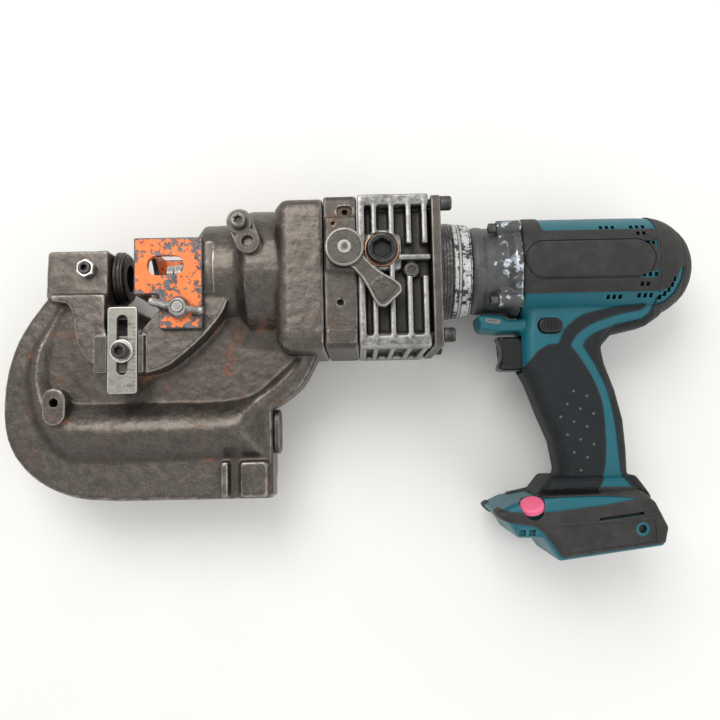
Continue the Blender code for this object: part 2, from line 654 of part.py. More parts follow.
def build_handle():
    """Handle halves, bumper, motor, switch, trigger and buttons."""
    publish(shell_half(1), "handle_shell_near", "teal_plastic")
    publish(shell_half(-1), "handle_shell_far", "teal_plastic")
    publish(lathe([(215.3, 0), (215.3, 26.2), (221, 20), (225.5, 12), (227.5, 0)], 20),
            "rear_bumper", "rubber")
    publish(ring((0, 0, 0), (1, 0, 0), 125, 195, 27, 31.0, 28), "motor_can", "forged_steel")
    publish(ring((0, 0, 0), (1, 0, 0), 203, 209, 4.3, 8.8, 16), "rear_bearing",
            "bright_steel")
    rotor = lathe([(GEAR_X0, 0), (GEAR_X0, 4), (129, 4), (130, 24), (185, 24), (186, 10),
                   (199, 10), (200, 4), (210, 4), (210, 0)], 16)
    join(rotor, gear_bar(SUN_TEETH, GEAR_X0 + 0.5, GEAR_X1 + 2))
    publish(rotor, "armature", "copper", (150, 0, 0))
    fan = []
    for k in range(10):
        for radius, share in ((10, -0.5), (27, -0.32), (27, -0.12)):
            angle = 2 * math.pi * (k + share) / 10
            fan.append((radius * math.cos(angle), radius * math.sin(angle)))
    blades = prism(fan, 113, 120, plane="yz")
    cut(blades, rod((0, 0, 0), (1, 0, 0), 100, 130, 4.4, 12))
    publish(blades, "motor_fan", "rubber", (150, 0, 0))
    publish(box((121.5, -84, -11), (142, -54, 11)), "switch_body", "black_oxide")
    publish(box((132, -177, -22), (190, -166, 22)), "terminal_block", "black_oxide")
    trigger = ((93, -46.6), (95, -52), (96, -58), (95, -64), (93.4, -68), (95.5, -69.6),
               (113, -69.6), (113, -49.5), (106, -46.6))
    publish(prism(trigger, -9, 9, ((0, 1.5), (1.5, 0))), "trigger", "rubber", (113, -58, 0))
    publish(coil(4.2, 0.7, 4, 114.1, 120.6, 8, 4, (0, -58, 0)), "trigger_spring",
            "bright_steel", (113.2, -58, 0))
    at = SWITCH_BUTTON_AT
    button = prism(obround((at[0] - 3, at[1]), (at[0] + 3, at[1]), 5.0), -20.5, 20.5,
                   ((0, 0.8), (0.8, 0)))
    publish(button, "direction_button", "black_oxide", (*at, 0))
    profile = [(-3, 0), (-3, 7.8), (0.6, 7.8), (1.5, 6.8), (1.5, 0)]
    publish(lathe(profile, 20, FOOT_BUTTON_AT, FOOT_BUTTON_AXIS), "foot_button",
            "pink_plastic", FOOT_BUTTON_AT)


def main():
    """Clear the file and build every piece."""
    for obj in list(bpy.data.objects):
        bpy.data.objects.remove(obj)
    build_c_frame()
    build_die()
    build_ram()
    build_stripper()
    build_gauge()
    build_hanger()
    build_valve_block()
    build_pump_case()
    build_gearing()
    build_drive_case()
    build_handle()


main()
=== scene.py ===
import logging
import math
from dataclasses import dataclass, field
from enum import Enum
from typing import Iterable, Optional, Sequence, Union

import bmesh
import bpy
import numpy as np
from mathutils import Matrix, Vector, noise
from mathutils.bvhtree import BVHTree


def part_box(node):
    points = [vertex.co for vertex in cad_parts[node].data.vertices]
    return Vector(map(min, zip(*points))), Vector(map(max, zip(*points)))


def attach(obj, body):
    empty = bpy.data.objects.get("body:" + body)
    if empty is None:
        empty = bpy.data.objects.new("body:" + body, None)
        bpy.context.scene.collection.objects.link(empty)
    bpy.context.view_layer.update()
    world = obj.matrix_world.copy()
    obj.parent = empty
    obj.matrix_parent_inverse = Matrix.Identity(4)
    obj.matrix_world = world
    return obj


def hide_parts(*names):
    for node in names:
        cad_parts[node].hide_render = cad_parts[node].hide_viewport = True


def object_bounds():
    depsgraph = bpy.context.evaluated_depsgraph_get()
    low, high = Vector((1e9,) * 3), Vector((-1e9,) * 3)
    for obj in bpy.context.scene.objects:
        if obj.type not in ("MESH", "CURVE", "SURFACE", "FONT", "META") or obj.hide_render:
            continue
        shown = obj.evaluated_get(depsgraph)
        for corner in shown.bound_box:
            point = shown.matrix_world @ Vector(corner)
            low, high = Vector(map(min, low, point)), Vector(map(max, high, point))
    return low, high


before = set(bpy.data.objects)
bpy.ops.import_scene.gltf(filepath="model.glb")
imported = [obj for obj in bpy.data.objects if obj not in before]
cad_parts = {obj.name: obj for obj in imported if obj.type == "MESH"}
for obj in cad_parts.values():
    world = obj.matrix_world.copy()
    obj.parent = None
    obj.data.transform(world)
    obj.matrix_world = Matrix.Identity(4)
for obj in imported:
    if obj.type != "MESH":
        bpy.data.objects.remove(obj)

# Looks of a cordless hydraulic hole puncher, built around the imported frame.
#
# Every size is in millimetres in the maker's working frame: the punch axis is Y = Z = 0
# and the joint of valve block and pump case is X = 0.  dress() moves a finished piece
# into the frame's metres.

CAD_BOX = [list(corner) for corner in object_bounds()]
MM = 0.001
LOG = logging.getLogger("puncher")

Object = bpy.types.Object
Socket = bpy.types.NodeSocket
Point2 = tuple[float, float]
Colour = tuple[float, float, float]
Outline = Sequence[Point2]
Level = Union[Socket, float]

X_AXIS = (1, 0, 0)
Z_AXIS = (0, 0, 1)
SIDES = ((1, "near"), (-1, "far"))
THROUGH = 60.0    # far end of a cutter that leaves the tool on one side
DENSE = 20000     # points in a mesh above which its edge and hollow marks are blurred
WELD = 0.002      # points closer than this become one
SLIVER = 0.001    # edges shorter than this are taken out
FULL_EDGE = 0.22      # outward bend, per millimetre, of an edge with full rubbed wear and painted highlight
FULL_HOLLOW = 0.10    # inward bend of a hollow with full dirt and painted shade


def working_datum() -> Vector:
    """Where the working frame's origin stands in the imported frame.

    Returns:
        The datum in metres.
    """
    case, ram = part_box("pump_case"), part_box("ram")
    return Vector((case[0].x, (ram[0].y + ram[1].y) / 2, (ram[0].z + ram[1].z) / 2))


DATUM = working_datum()


# ---------------------------------------------------------------- outlines


def area(outline: Outline) -> float:
    """Signed area of a plane outline, positive when it runs counter-clockwise."""
    pts = list(outline)
    return 0.5 * sum(a[0] * b[1] - b[0] * a[1] for a, b in zip(pts, pts[1:] + pts[:1]))


def inset(outline: Outline, distance: float) -> list[Point2]:
    """Move an outline inwards.

    Args:
        outline: Plane points in order.
        distance: How far each side moves in; negative grows the outline.

    Returns:
        One mitred point for each corner.
    """
    pts = [Vector(p) for p in outline]
    side = 1.0 if area(outline) > 0 else -1.0
    moved = []
    for i, p in enumerate(pts):
        before = (p - pts[i - 1]).normalized()
        after = (pts[(i + 1) % len(pts)] - p).normalized()
        n0 = Vector((-before.y, before.x)) * side
        n1 = Vector((-after.y, after.x)) * side
        mitre = (n0 + n1).normalized()
        moved.append(tuple(p + mitre * distance / max(mitre.dot(n0), 0.5)))
    return moved


def fillet(outline: Outline, radius: Union[float, Sequence[float]], steps: int = 5
           ) -> list[Point2]:
    """Round the corners of an outline.

    Args:
        outline: Plane points in order.
        radius: One radius for all corners, or one for each.
        steps: Segments in each rounded corner.

    Returns:
        The outline with arcs in place of its corners.
    """
    pts = [Vector(p) for p in outline]
    radii = [radius] * len(pts) if isinstance(radius, (int, float)) else list(radius)
    made: list[Point2] = []
    for i, p in enumerate(pts):
        back, ahead = pts[i - 1] - p, pts[(i + 1) % len(pts)] - p
        reach_limit = 0.46 * min(back.length, ahead.length)
        a, b = back.normalized(), ahead.normalized()
        half = math.acos(max(-1.0, min(1.0, a.dot(b)))) / 2
        if radii[i] <= 0 or half > 1.53 or half < 0.02:
            made.append(tuple(p))
            continue
        reach = min(radii[i] / math.tan(half), reach_limit)
        start, end = p + a * reach, p + b * reach
        for k in range(steps + 1):
            t = k / steps
            made.append(tuple(start * (1 - t) ** 2 + p * 2 * t * (1 - t) + end * t ** 2))
    return made


def flow(outline: Outline, radius: float = 2.0, steps: int = 4) -> list[Point2]:
    """Round an outline's real corners and smooth its gentle bends.

    Args:
        outline: Plane points in order.
        radius: Radius of corners that turn by more than 40 degrees.
        steps: Segments in each corner.

    Returns:
        The smoothed outline.
    """
    pts = [Vector(p) for p in outline]
    radii = []
    for i, p in enumerate(pts):
        turn = (p - pts[i - 1]).angle(pts[(i + 1) % len(pts)] - p)
        radii.append(200.0 if turn < math.radians(40) else radius)
    return fillet(outline, radii, steps)


def depth_inside(points: np.ndarray, outline: Outline) -> np.ndarray:
    """How deep points lie inside an outline.

    Args:
        points: Plane points, one in each row.
        outline: Plane points in order.

    Returns:
        Distance to the outline, negative outside it.
    """
    corners = np.array(outline)
    nearest = np.full(len(points), 1e9)
    inside = np.zeros(len(points), bool)
    for a, b in zip(corners, np.roll(corners, -1, axis=0)):
        along = b - a
        share = ((points - a) @ along / (along @ along)).clip(0, 1)
        away = points - (a + share[:, None] * along)
        nearest = np.minimum(nearest, np.hypot(away[:, 0], away[:, 1]))
        crosses = (a[1] > points[:, 1]) != (b[1] > points[:, 1])
        rise = b[1] - a[1] if b[1] != a[1] else 1e-9
        at = along[0] * (points[:, 1] - a[1]) / rise + a[0]
        inside ^= crosses & (points[:, 0] < at)
    return np.where(inside, nearest, -nearest)


def circle(centre: Point2, radius: float, count: int = 32, phase: float = 0.0
           ) -> list[Point2]:
    """Regular polygon outline."""
    return [(centre[0] + radius * math.cos(phase + math.tau * k / count),
             centre[1] + radius * math.sin(phase + math.tau * k / count))
            for k in range(count)]


def slot_outline(a: Point2, b: Point2, radius: float, per_end: int = 10
                 ) -> list[Point2]:
    """Outline of a round-ended slot.

    Args:
        a: Centre of its first end.
        b: Centre of its other end.
        radius: Radius of both ends.
        per_end: Points round each end.

    Returns:
        The slot's points in order.
    """
    start, end = Vector(a), Vector(b)
    heading = math.atan2((end - start).y, (end - start).x)
    points = []
    for centre, turn in ((end, -0.5), (start, 0.5)):
        for k in range(per_end):
            angle = heading + math.pi * (turn + k / (per_end - 1))
            points.append((centre.x + radius * math.cos(angle),
                           centre.y + radius * math.sin(angle)))
    return points


def plate_outline(centre: Point2, half: Point2, radius: float, steps: int = 5
                  ) -> list[Point2]:
    """Rectangle with rounded corners.

    Args:
        centre: Its middle.
        half: Half its width and half its height.
        radius: Radius of its corners.
        steps: Segments in each corner.

    Returns:
        The rectangle's points in order.
    """
    (cx, cy), (hx, hy) = centre, half
    corners = [(cx + hx, cy + hy), (cx - hx, cy + hy), (cx - hx, cy - hy),
               (cx + hx, cy - hy)]
    return fillet(corners, radius, steps)


# ------------------------------------------------------------------ solids


def placed(name: str, data: bpy.types.ID) -> Object:
    """Object that holds this data, linked into the scene."""
    made = bpy.data.objects.new(name, data)
    bpy.context.scene.collection.objects.link(made)
    return made


def flank(side: int, inner: float, outer: float = THROUGH) -> Point2:
    """Lower and upper height of a slab on one side of the middle plane."""
    low, high = sorted((side * inner, side * outer))
    return low, high


def solid(verts: Iterable[Sequence[float]], faces: Iterable[Sequence[int]]) -> Object:
    """Make an object of working-frame points and faces, facing outwards.

    Args:
        verts: Points in millimetres.
        faces: Indices of each face's points.

    Returns:
        The new object.
    """
    mesh = bpy.data.meshes.new("stock")
    mesh.from_pydata([tuple(v) for v in verts], [], [tuple(f) for f in faces])
    bm = bmesh.new()
    bm.from_mesh(mesh)
    bmesh.ops.remove_doubles(bm, verts=bm.verts, dist=1e-4)
    bmesh.ops.recalc_face_normals(bm, faces=bm.faces)
    bm.to_mesh(mesh)
    bm.free()
    return placed("stock", mesh)


def loft(rings: Sequence[Sequence[Sequence[float]]]) -> Object:
    """Closed solid with flat ends.

    Args:
        rings: Closed sections in order, all with the same number of points.

    Returns:
        The new solid.
    """
    count = len(rings[0])
    verts = [p for ring in rings for p in ring]
    faces: list[Sequence[int]] = [tuple(range(count))[::-1]]
    for k in range(len(rings) - 1):
        a, b = k * count, (k + 1) * count
        for i in range(count):
            j = (i + 1) % count
            faces.append((a + i, a + j, b + j, b + i))
    faces.append(tuple((len(rings) - 1) * count + i for i in range(count)))
    return solid(verts, faces)


def prism(outline: Outline, low: float, high: float, rim: float = 0.5,
          plane: str = "xy", support: float = 0.5) -> Object:
    """Extruded outline with a rounded rim at both faces.

    Args:
        outline: Plane points in order.
        low: Height of the lower face.
        high: Height of the upper face.
        rim: Radius of the rim; 0 leaves it sharp.
        plane: "xy" extrudes along Z and "yz" along X.
        support: Width of the plain strip kept beside the rim.

    Returns:
        The new solid.
    """
    levels: list[tuple[float, float]] = []
    if rim > 0:
        for k in range(4):
            turn = math.pi / 2 * k / 3
            levels.append((rim * (1 - math.cos(turn)), rim * (1 - math.sin(turn))))
        if high - low > 2 * (rim + support) + 0.2:
            levels.insert(0, (0.0, rim + support))
        levels.append((rim + support, 0.0))
    else:
        levels.append((0.0, 0.0))
    steps = [(low + depth, amount) for amount, depth in reversed(levels)]
    steps += [(high - depth, amount) for amount, depth in levels]
    rings = []
    for height, amount in steps:
        ring = inset(outline, amount) if amount else list(outline)
        rings.append([(p[0], p[1], height) if plane == "xy" else (height, p[0], p[1])
                      for p in ring])
    return loft(rings)


def pillow(outline: Outline, low: float, high: float, width: float,
           hollow: bool = False, pitch: float = 1.6) -> Object:
    """Solid that rises from an outline to a crest, the same on both sides of Z = 0.

    Args:
        outline: Plane points in order.
        low: Half thickness outside the outline.
        high: Half thickness of the crest.
        width: How far in from the outline the crest lies.
        hollow: True gives a hollow flank in place of a round one.
        pitch: Spacing of the surface's points.

    Returns:
        The new solid.
    """
    corners = np.array(outline)
    lo, hi = corners.min(0) - 2 * pitch, corners.max(0) + 2 * pitch
    nx, ny = (int(v) + 1 for v in (hi - lo) / pitch)
    xs, ys = np.linspace(lo[0], hi[0], nx), np.linspace(lo[1], hi[1], ny)
    grid = np.stack(np.meshgrid(xs, ys, indexing="ij"), axis=-1).reshape(-1, 2)
    share = (depth_inside(grid, outline) / width).clip(0, 1)
    rise = 1 - np.sqrt(1 - share ** 2) if hollow else np.sin(share * math.pi / 2) ** 1.2
    level = (low + (high - low) * rise).reshape(nx, ny)
    for _ in range(0 if hollow else 6):
        padded = np.pad(level, 1, mode="edge")
        level = 0.2 * (level + padded[2:, 1:-1] + padded[:-2, 1:-1]
                       + padded[1:-1, 2:] + padded[1:-1, :-2])
    level = level.ravel()
    verts = [(x, y, z) for (x, y), z in zip(grid, level)]
    verts += [(x, y, -z) for x, y, z in verts]
    count, faces = nx * ny, []
    for i in range(nx - 1):
        for j in range(ny - 1):
            a, b = i * ny + j, (i + 1) * ny + j
            faces.append((a, b, b + 1, a + 1))
            faces.append((count + a, count + a + 1, count + b + 1, count + b))
    border = [i * ny for i in range(nx)] + [(nx - 1) * ny + j for j in range(1, ny)]
    border += [i * ny + ny - 1 for i in range(nx - 2, -1, -1)]
    border += list(range(ny - 2, 0, -1))
    for a, b in zip(border, border[1:] + border[:1]):
        faces.append((a, count + a, count + b, b))
    return machine(solid(verts, faces), prism(outline, -high - 1, high + 1, 0),
                   operation="INTERSECT")


def block(low: Sequence[float], high: Sequence[float], corner: float = 0.6,
          rim: float = 0.5) -> Object:
    """Rectangular block with rounded corners and rims.

    Args:
        low: Its lowest corner.
        high: Its highest corner.
        corner: Radius of the upright edges.
        rim: Radius of the rims of its top and bottom.

    Returns:
        The new solid.
    """
    centre = ((low[0] + high[0]) / 2, (low[1] + high[1]) / 2)
    half = ((high[0] - low[0]) / 2, (high[1] - low[1]) / 2)
    return prism(plate_outline(centre, half, corner, 3), low[2], high[2], rim)


def cutter(low: Sequence[float], high: Sequence[float]) -> Object:
    """Sharp rectangular block for machining."""
    outline = [(low[0], low[1]), (high[0], low[1]), (high[0], high[1]),
               (low[0], high[1])]
    return prism(outline, low[2], high[2], 0)


def soften(profile: Sequence[Point2], radius: float, closed: bool) -> list[Point2]:
    """Round a turned profile's corners and keep plain strips beside them.

    Args:
        profile: Points (distance along the axis, radius).
        radius: Largest radius given to a corner.
        closed: True when the last point joins the first.

    Returns:
        The rounded profile.
    """
    made: list[Point2] = []
    last = len(profile) - 1
    for i, point in enumerate(profile):
        if not closed and i in (0, last):
            made.append(tuple(point))
            continue
        p = Vector(point)
        back = Vector(profile[i - 1]) - p
        ahead = Vector(profile[(i + 1) % len(profile)]) - p
        if back.length < 1e-6 or ahead.length < 1e-6 or p.y <= 0:
            made.append(tuple(p))
            continue
        bend = math.pi - back.angle(ahead)
        reach = min(radius, 0.3 * back.length, 0.3 * ahead.length)
        if bend < 0.25:
            made.append(tuple(p))
            continue
        a, b = back.normalized(), ahead.normalized()
        if back.length > 3.2 * reach:
            made.append(tuple(p + a * reach * 1.6))
        for k in range(4):
            t = k / 3
            q = (p + a * reach) * (1 - t) ** 2 + p * 2 * t * (1 - t)
            made.append(tuple(q + (p + b * reach) * t ** 2))
        if ahead.length > 3.2 * reach:
            made.append(tuple(p + b * reach * 1.6))
    return made


def turned(profile: Sequence[Point2], axis: Sequence[float] = (1, 0, 0),
           origin: Sequence[float] = (0, 0, 0), count: int = 56, radius: float = 0.4,
           tube: bool = False) -> Object:
    """Body of revolution.

    Args:
        profile: Points (distance along the axis, radius); unless it is a tube, its ends
            are closed to the axis.
        axis: Direction of the turning axis.
        origin: Point on the axis where the distance is 0.
        count: Segments round the axis.
        radius: Radius given to the profile's corners.
        tube: True joins the profile's last point to its first.

    Returns:
        The new solid.
    """
    if not tube:
        first, last = profile[0], profile[-1]
        profile = ([(first[0], 0)] if first[1] > 0 else []) + list(profile)
        profile += [(last[0], 0)] if last[1] > 0 else []
    spin = Vector((1, 0, 0)).rotation_difference(Vector(axis).normalized())
    place = Matrix.Translation(Vector(origin)) @ spin.to_matrix().to_4x4()
    verts: list[Vector] = []
    rows: list[list[int]] = []
    for along, reach in soften(profile, radius, tube) if radius > 0 else profile:
        if reach <= 1e-6:
            rows.append([len(verts)] * count)
            verts.append(place @ Vector((along, 0, 0)))
            continue
        rows.append(list(range(len(verts), len(verts) + count)))
        for k in range(count):
            turn = math.tau * k / count
            verts.append(place @ Vector((along, reach * math.cos(turn),
                                         reach * math.sin(turn))))
    faces = []
    for lower, upper in list(zip(rows, rows[1:] + rows[:1]))[:None if tube else -1]:
        for k in range(count):
            j = (k + 1) % count
            face = [lower[k], lower[j], upper[j], upper[k]]
            face = [v for i, v in enumerate(face) if v != face[i - 1]]
            if len(face) > 2:
                faces.append(face)
    return solid(verts, faces)


def bar(origin: Sequence[float], axis: Sequence[float], low: float, high: float,
        radius: float, count: int = 40) -> Object:
    """Plain round cutter along an axis."""
    return turned([(low, radius), (high, radius)], axis, origin, count, 0)


def gather(pieces: Sequence[Object]) -> Object:
    """Put several solids into one object without merging their surfaces.

    Args:
        pieces: The solids; all but the first are used up.

    Returns:
        The first one, which now holds them all.
    """
    bm = bmesh.new()
    for piece in pieces:
        bm.from_mesh(piece.data)
    base = pieces[0]
    bm.to_mesh(base.data)
    bm.free()
    for piece in pieces[1:]:
        bpy.data.objects.remove(piece)
    return base


def ring_of_bars(centre: Sequence[float], axis: Sequence[float], reach: float,
                 low: float, high: float, radius: float, count: int, sides: int = 8,
                 phase: float = 0.0) -> Object:
    """Round cutters spaced evenly on a circle about an axis.

    Args:
        centre: Point on the axis.
        axis: X_AXIS or Z_AXIS.
        reach: Distance of each cutter from the axis.
        low: Start of each cutter along the axis.
        high: End of each cutter.
        radius: Radius of each cutter.
        count: Number of cutters.
        sides: Segments round each cutter.
        phase: Turn of the first cutter as a share of the spacing.

    Returns:
        All the cutters in one object.
    """
    bars = []
    for k in range(count):
        turn = math.tau * (k + phase) / count
        a, b = reach * math.cos(turn), reach * math.sin(turn)
        shift = (0, a, b) if axis == X_AXIS else (a, b, 0)
        origin = tuple(c + d for c, d in zip(centre, shift))
        bars.append(bar(origin, axis, low, high, radius, sides))
    return gather(bars)


def with_modifier(piece: Object, kind: str, **settings: object) -> int:
    """Run one modifier and keep its result.

    Args:
        piece: The object.
        kind: The modifier's type.
        settings: The modifier's own settings.

    Returns:
        How many points the object has now.
    """
    step = piece.modifiers.new("step", kind)
    for key, value in settings.items():
        setattr(step, key, value)
    graph = bpy.context.evaluated_depsgraph_get()
    mesh = bpy.data.meshes.new_from_object(piece.evaluated_get(graph))
    piece.modifiers.clear()
    old, piece.data = piece.data, mesh
    bpy.data.meshes.remove(old)
    return len(mesh.vertices)


def points_of(piece: Object) -> np.ndarray:
    """Vertex positions as an array."""
    co = np.empty(len(piece.data.vertices) * 3)
    piece.data.vertices.foreach_get("co", co)
    return co.reshape(-1, 3)


def set_points(piece: Object, co: np.ndarray) -> None:
    """Write vertex positions back."""
    piece.data.vertices.foreach_set("co", co.astype(np.float32).ravel())
    piece.data.update()


def edges_of(piece: Object) -> np.ndarray:
    """Vertex pairs of every edge."""
    pairs = np.empty(len(piece.data.edges) * 2, np.int64)
    piece.data.edges.foreach_get("vertices", pairs)
    return pairs.reshape(-1, 2)


def normals_of(piece: Object) -> np.ndarray:
    """Vertex normals as an array."""
    found = np.empty(len(piece.data.vertices) * 3)
    piece.data.vertex_normals.foreach_get("vector", found)
    return found.reshape(-1, 3)


def neighbour_mean(values: np.ndarray, pairs: np.ndarray) -> np.ndarray:
    """Mean of each point's neighbours.

    Args:
        values: One row for each point.
        pairs: Point pairs of every edge.

    Returns:
        Rows in the same order.
    """
    count = len(values)
    degree = np.bincount(pairs.ravel(), minlength=count).clip(1)
    flat = values.reshape(count, -1)
    total = np.stack([
        np.bincount(pairs[:, 0], flat[pairs[:, 1], k], count)
        + np.bincount(pairs[:, 1], flat[pairs[:, 0], k], count)
        for k in range(flat.shape[1])], axis=1)
    return (total / degree[:, None]).reshape(values.shape)


def relax(piece: Object, passes: int) -> Object:
    """Smooth a dense mesh without shrinking it.

    Args:
        piece: The mesh.
        passes: How many times it is smoothed.

    Returns:
        The same object.
    """
    co, pairs = points_of(piece), edges_of(piece)
    for _ in range(passes):
        for share in (0.6, -0.5):
            co += share * (neighbour_mean(co, pairs) - co)
    set_points(piece, co)
    return piece


def swell(piece: Object, distance: float) -> Object:
    """Move a dense surface along its normals."""
    set_points(piece, points_of(piece) + normals_of(piece) * distance)
    return piece


def pit(piece: Object, size: float, depth: float) -> Object:
    """Give a dense surface the uneven skin of a casting or forging.

    Args:
        piece: A dense solid.
        size: Width of a hump.
        depth: Deepest hollow; nothing is raised.

    Returns:
        The same object.
    """
    co, normals = points_of(piece), normals_of(piece)
    rough = np.array([
        noise.noise(Vector(p) / size) + 0.5 * noise.noise(Vector(p) * 2.3 / size)
        for p in co])
    set_points(piece, co - normals * ((rough + 1.0) * 0.5 * depth)[:, None])
    return piece


def melt(pieces: Sequence[Object], voxel: float = 0.8, passes: int = 3) -> Object:
    """Run solids together into one body with cast fillets.

    Args:
        pieces: Overlapping solids.
        voxel: Size of the new surface's squares.
        passes: How far the edges soften.

    Returns:
        One dense solid.
    """
    base = gather(pieces)
    with_modifier(base, "REMESH", mode="VOXEL", voxel_size=voxel, adaptivity=0.0)
    return relax(base, passes)


def machine(base: Object, *others: Object, operation: str = "DIFFERENCE") -> Object:
    """Cut, join or intersect solids in turn.

    Args:
        base: The solid that is kept.
        others: Solids that are used up.
        operation: "DIFFERENCE", "UNION" or "INTERSECT".

    Returns:
        The base.
    """
    for other in others:
        before = len(base.data.vertices)
        source = base.data.copy()
        after = with_modifier(base, "BOOLEAN", solver="MANIFOLD", operation=operation,
                              object=other)
        if after in (0, before):
            old, base.data = base.data, source
            bpy.data.meshes.remove(old)
            with_modifier(base, "BOOLEAN", solver="EXACT", operation=operation,
                          object=other)
        else:
            bpy.data.meshes.remove(source)
        bpy.data.objects.remove(other)
    return base


def copy_of(piece: Object) -> Object:
    """Independent copy of a solid."""
    return placed("stock", piece.data.copy())


def store(piece: Object, name: str, values: np.ndarray) -> None:
    """Keep one number for each vertex under a name that materials read."""
    layer = piece.data.attributes.new(name, "FLOAT", "POINT")
    layer.data.foreach_set("value", values.astype(np.float32))


def mark_edges_and_hollows(piece: Object, proud: Optional[Point2] = None,
              valley: Optional[Outline] = None) -> None:
    """Store how sharply each vertex stands out ("edge") and lies in ("hollow").

    Args:
        piece: Solid in working millimetres.
        proud: Middle height and half width of a box whose outer faces are rubbed bright
            and whose inner gaps get dirt and painted shade.
        valley: Outline of a sunken floor that gets painted shade and dirt.
    """
    co, pairs, normals = points_of(piece), edges_of(piece), normals_of(piece)
    step = co[pairs[:, 1]] - co[pairs[:, 0]]
    turn = normals[pairs[:, 1]] - normals[pairs[:, 0]]
    length = (step ** 2).sum(1).clip(1e-4)
    bend = (step * turn).sum(1) / length
    count = len(co)
    degree = np.bincount(pairs.ravel(), minlength=count).clip(1)
    curve = (np.bincount(pairs[:, 0], bend, count)
             + np.bincount(pairs[:, 1], bend, count)) / degree
    curve = curve.clip(-1.5, 1.5)
    dense = count > DENSE
    broad = curve.copy()
    for _ in range(5 if dense else 0):
        broad = 0.4 * broad + 0.6 * neighbour_mean(broad, pairs)
    sharp = curve
    for _ in range(2 if dense else 0):
        sharp = 0.5 * sharp + 0.5 * neighbour_mean(sharp, pairs)
    # edge lightens rims: rubbed wear and, on bare metal, painted highlight.
    edge = (sharp / FULL_EDGE - 0.25).clip(0, 1)
    # hollow darkens concave places: dirt and painted shade.
    hollow = (-broad / FULL_HOLLOW).clip(0, 1)
    if proud is not None:
        skin = np.maximum(np.abs(co[:, 2]), np.abs(co[:, 1] - proud[0]))
        outer = ((skin - proud[1] + 4.0) / 3.0).clip(0, 1)
        edge = outer * (0.45 + 0.3 * edge)
        # The gaps between the fins get dirt and painted shade.
        hollow = np.maximum(hollow * 0.6, ((proud[1] - 4.0 - skin) / 7.0).clip(0, 1))
    if valley is not None:
        # The sunken floor gets painted shade and dirt.
        sunk = (depth_inside(co[:, :2], valley) / 8.0).clip(0, 1)
        floor = ((22 - np.abs(co[:, 2])) / 4).clip(0, 1)
        hollow = np.maximum(hollow, 0.62 * sunk * floor)
    store(piece, "edge", edge)
    store(piece, "hollow", hollow)


# --------------------------------------------------------------- materials


class Net:
    """Short hand for wiring one node tree."""

    def __init__(self, tree: bpy.types.NodeTree) -> None:
        """Keep the tree and empty it."""
        self.tree = tree
        tree.nodes.clear()

    def node(self, kind: str, values: Optional[dict] = None, **settings: object
             ) -> bpy.types.Node:
        """Add a node.

        Args:
            kind: Node type without its "ShaderNode" prefix.
            values: Socket name or number to a constant or another node's output.
            settings: Properties of the node itself.

        Returns:
            The new node.
        """
        made = self.tree.nodes.new("ShaderNode" + kind)
        for key, value in settings.items():
            setattr(made, key, value)
        for key, value in (values or {}).items():
            if isinstance(value, bpy.types.NodeSocket):
                self.tree.links.new(value, made.inputs[key])
            else:
                made.inputs[key].default_value = value
        return made

    def math(self, operation: str, a: Level, b: Level = 0.0, clamp: bool = False
             ) -> Socket:
        """One sum; returns its output."""
        return self.node("Math", {0: a, 1: b}, operation=operation,
                         use_clamp=clamp).outputs[0]

    def times(self, a: Level, b: Level, clamp: bool = False) -> Socket:
        """Product of two values."""
        return self.math("MULTIPLY", a, b, clamp)

    def plus(self, a: Level, b: Level, clamp: bool = False) -> Socket:
        """Sum of two values."""
        return self.math("ADD", a, b, clamp)

    def minus(self, a: Level, b: Level, clamp: bool = False) -> Socket:
        """First value less the second."""
        return self.math("SUBTRACT", a, b, clamp)

    def most(self, a: Socket, b: Socket) -> Socket:
        """Larger of two masks."""
        return self.math("MAXIMUM", a, b, clamp=True)

    def span(self, value: Level, low: float, high: float,
             to_low: float = 0.0, to_high: float = 1.0) -> Socket:
        """Map a span of values on to another with soft ends."""
        return self.node("MapRange", {"Value": value, "From Min": low, "From Max": high,
                                      "To Min": to_low, "To Max": to_high},
                         interpolation_type="SMOOTHSTEP").outputs[0]

    def mix(self, share: Level, a: Union[Socket, tuple],
            b: Union[Socket, tuple]) -> Socket:
        """Blend two colours; returns the colour output."""
        return self.node("Mix", {0: share, 6: a, 7: b}, data_type="RGBA").outputs[2]

    def noise(self, vector: Socket, scale: Level, detail: float = 3.0,
              roughness: float = 0.55) -> Socket:
        """Noise value at a scale given in waves per millimetre."""
        return self.node("TexNoise", {"Vector": vector, "Scale": scale,
                                      "Detail": detail, "Roughness": roughness}
                         ).outputs[0]

    def place(self) -> Socket:
        """The piece's own coordinates in millimetres."""
        own = self.node("TexCoord").outputs["Object"]
        return self.node("VectorMath", {0: own, 3: 1000.0}, operation="SCALE").outputs[0]

    def kept(self, name: str) -> Socket:
        """A number stored on the mesh."""
        return self.node("Attribute", attribute_name=name).outputs["Fac"]

    def mask(self, effect: "Effect", **values: object) -> Socket:
        """First output of a shared effect placed with its own values."""
        return self.use(effect, **values).outputs[0]

    def use(self, effect: "Effect", **values: object) -> bpy.types.Node:
        """Place a shared effect.

        Args:
            effect: Which effect.
            values: Its inputs by name, in small letters.

        Returns:
            The group's node.
        """
        made = self.tree.nodes.new("ShaderNodeGroup")
        made.node_tree = EFFECTS[effect]
        for key, value in values.items():
            socket = made.inputs[key.capitalize()]
            if isinstance(value, bpy.types.NodeSocket):
                self.tree.links.new(value, socket)
            else:
                socket.default_value = value
        return made


class Effect(Enum):
    """Shared shader effects."""

    GRAIN = "grain"
    EDGE_RUB_AND_HIGHLIGHT = "edge_rub_and_highlight"
    GRIME_AND_SHADE = "grime_and_shade"
    RUST = "rust_bloom"
    SCRATCHES = "scratches"
    CHIPS = "chips"
    DUST = "dust"


EFFECTS: dict[Effect, bpy.types.NodeTree] = {}


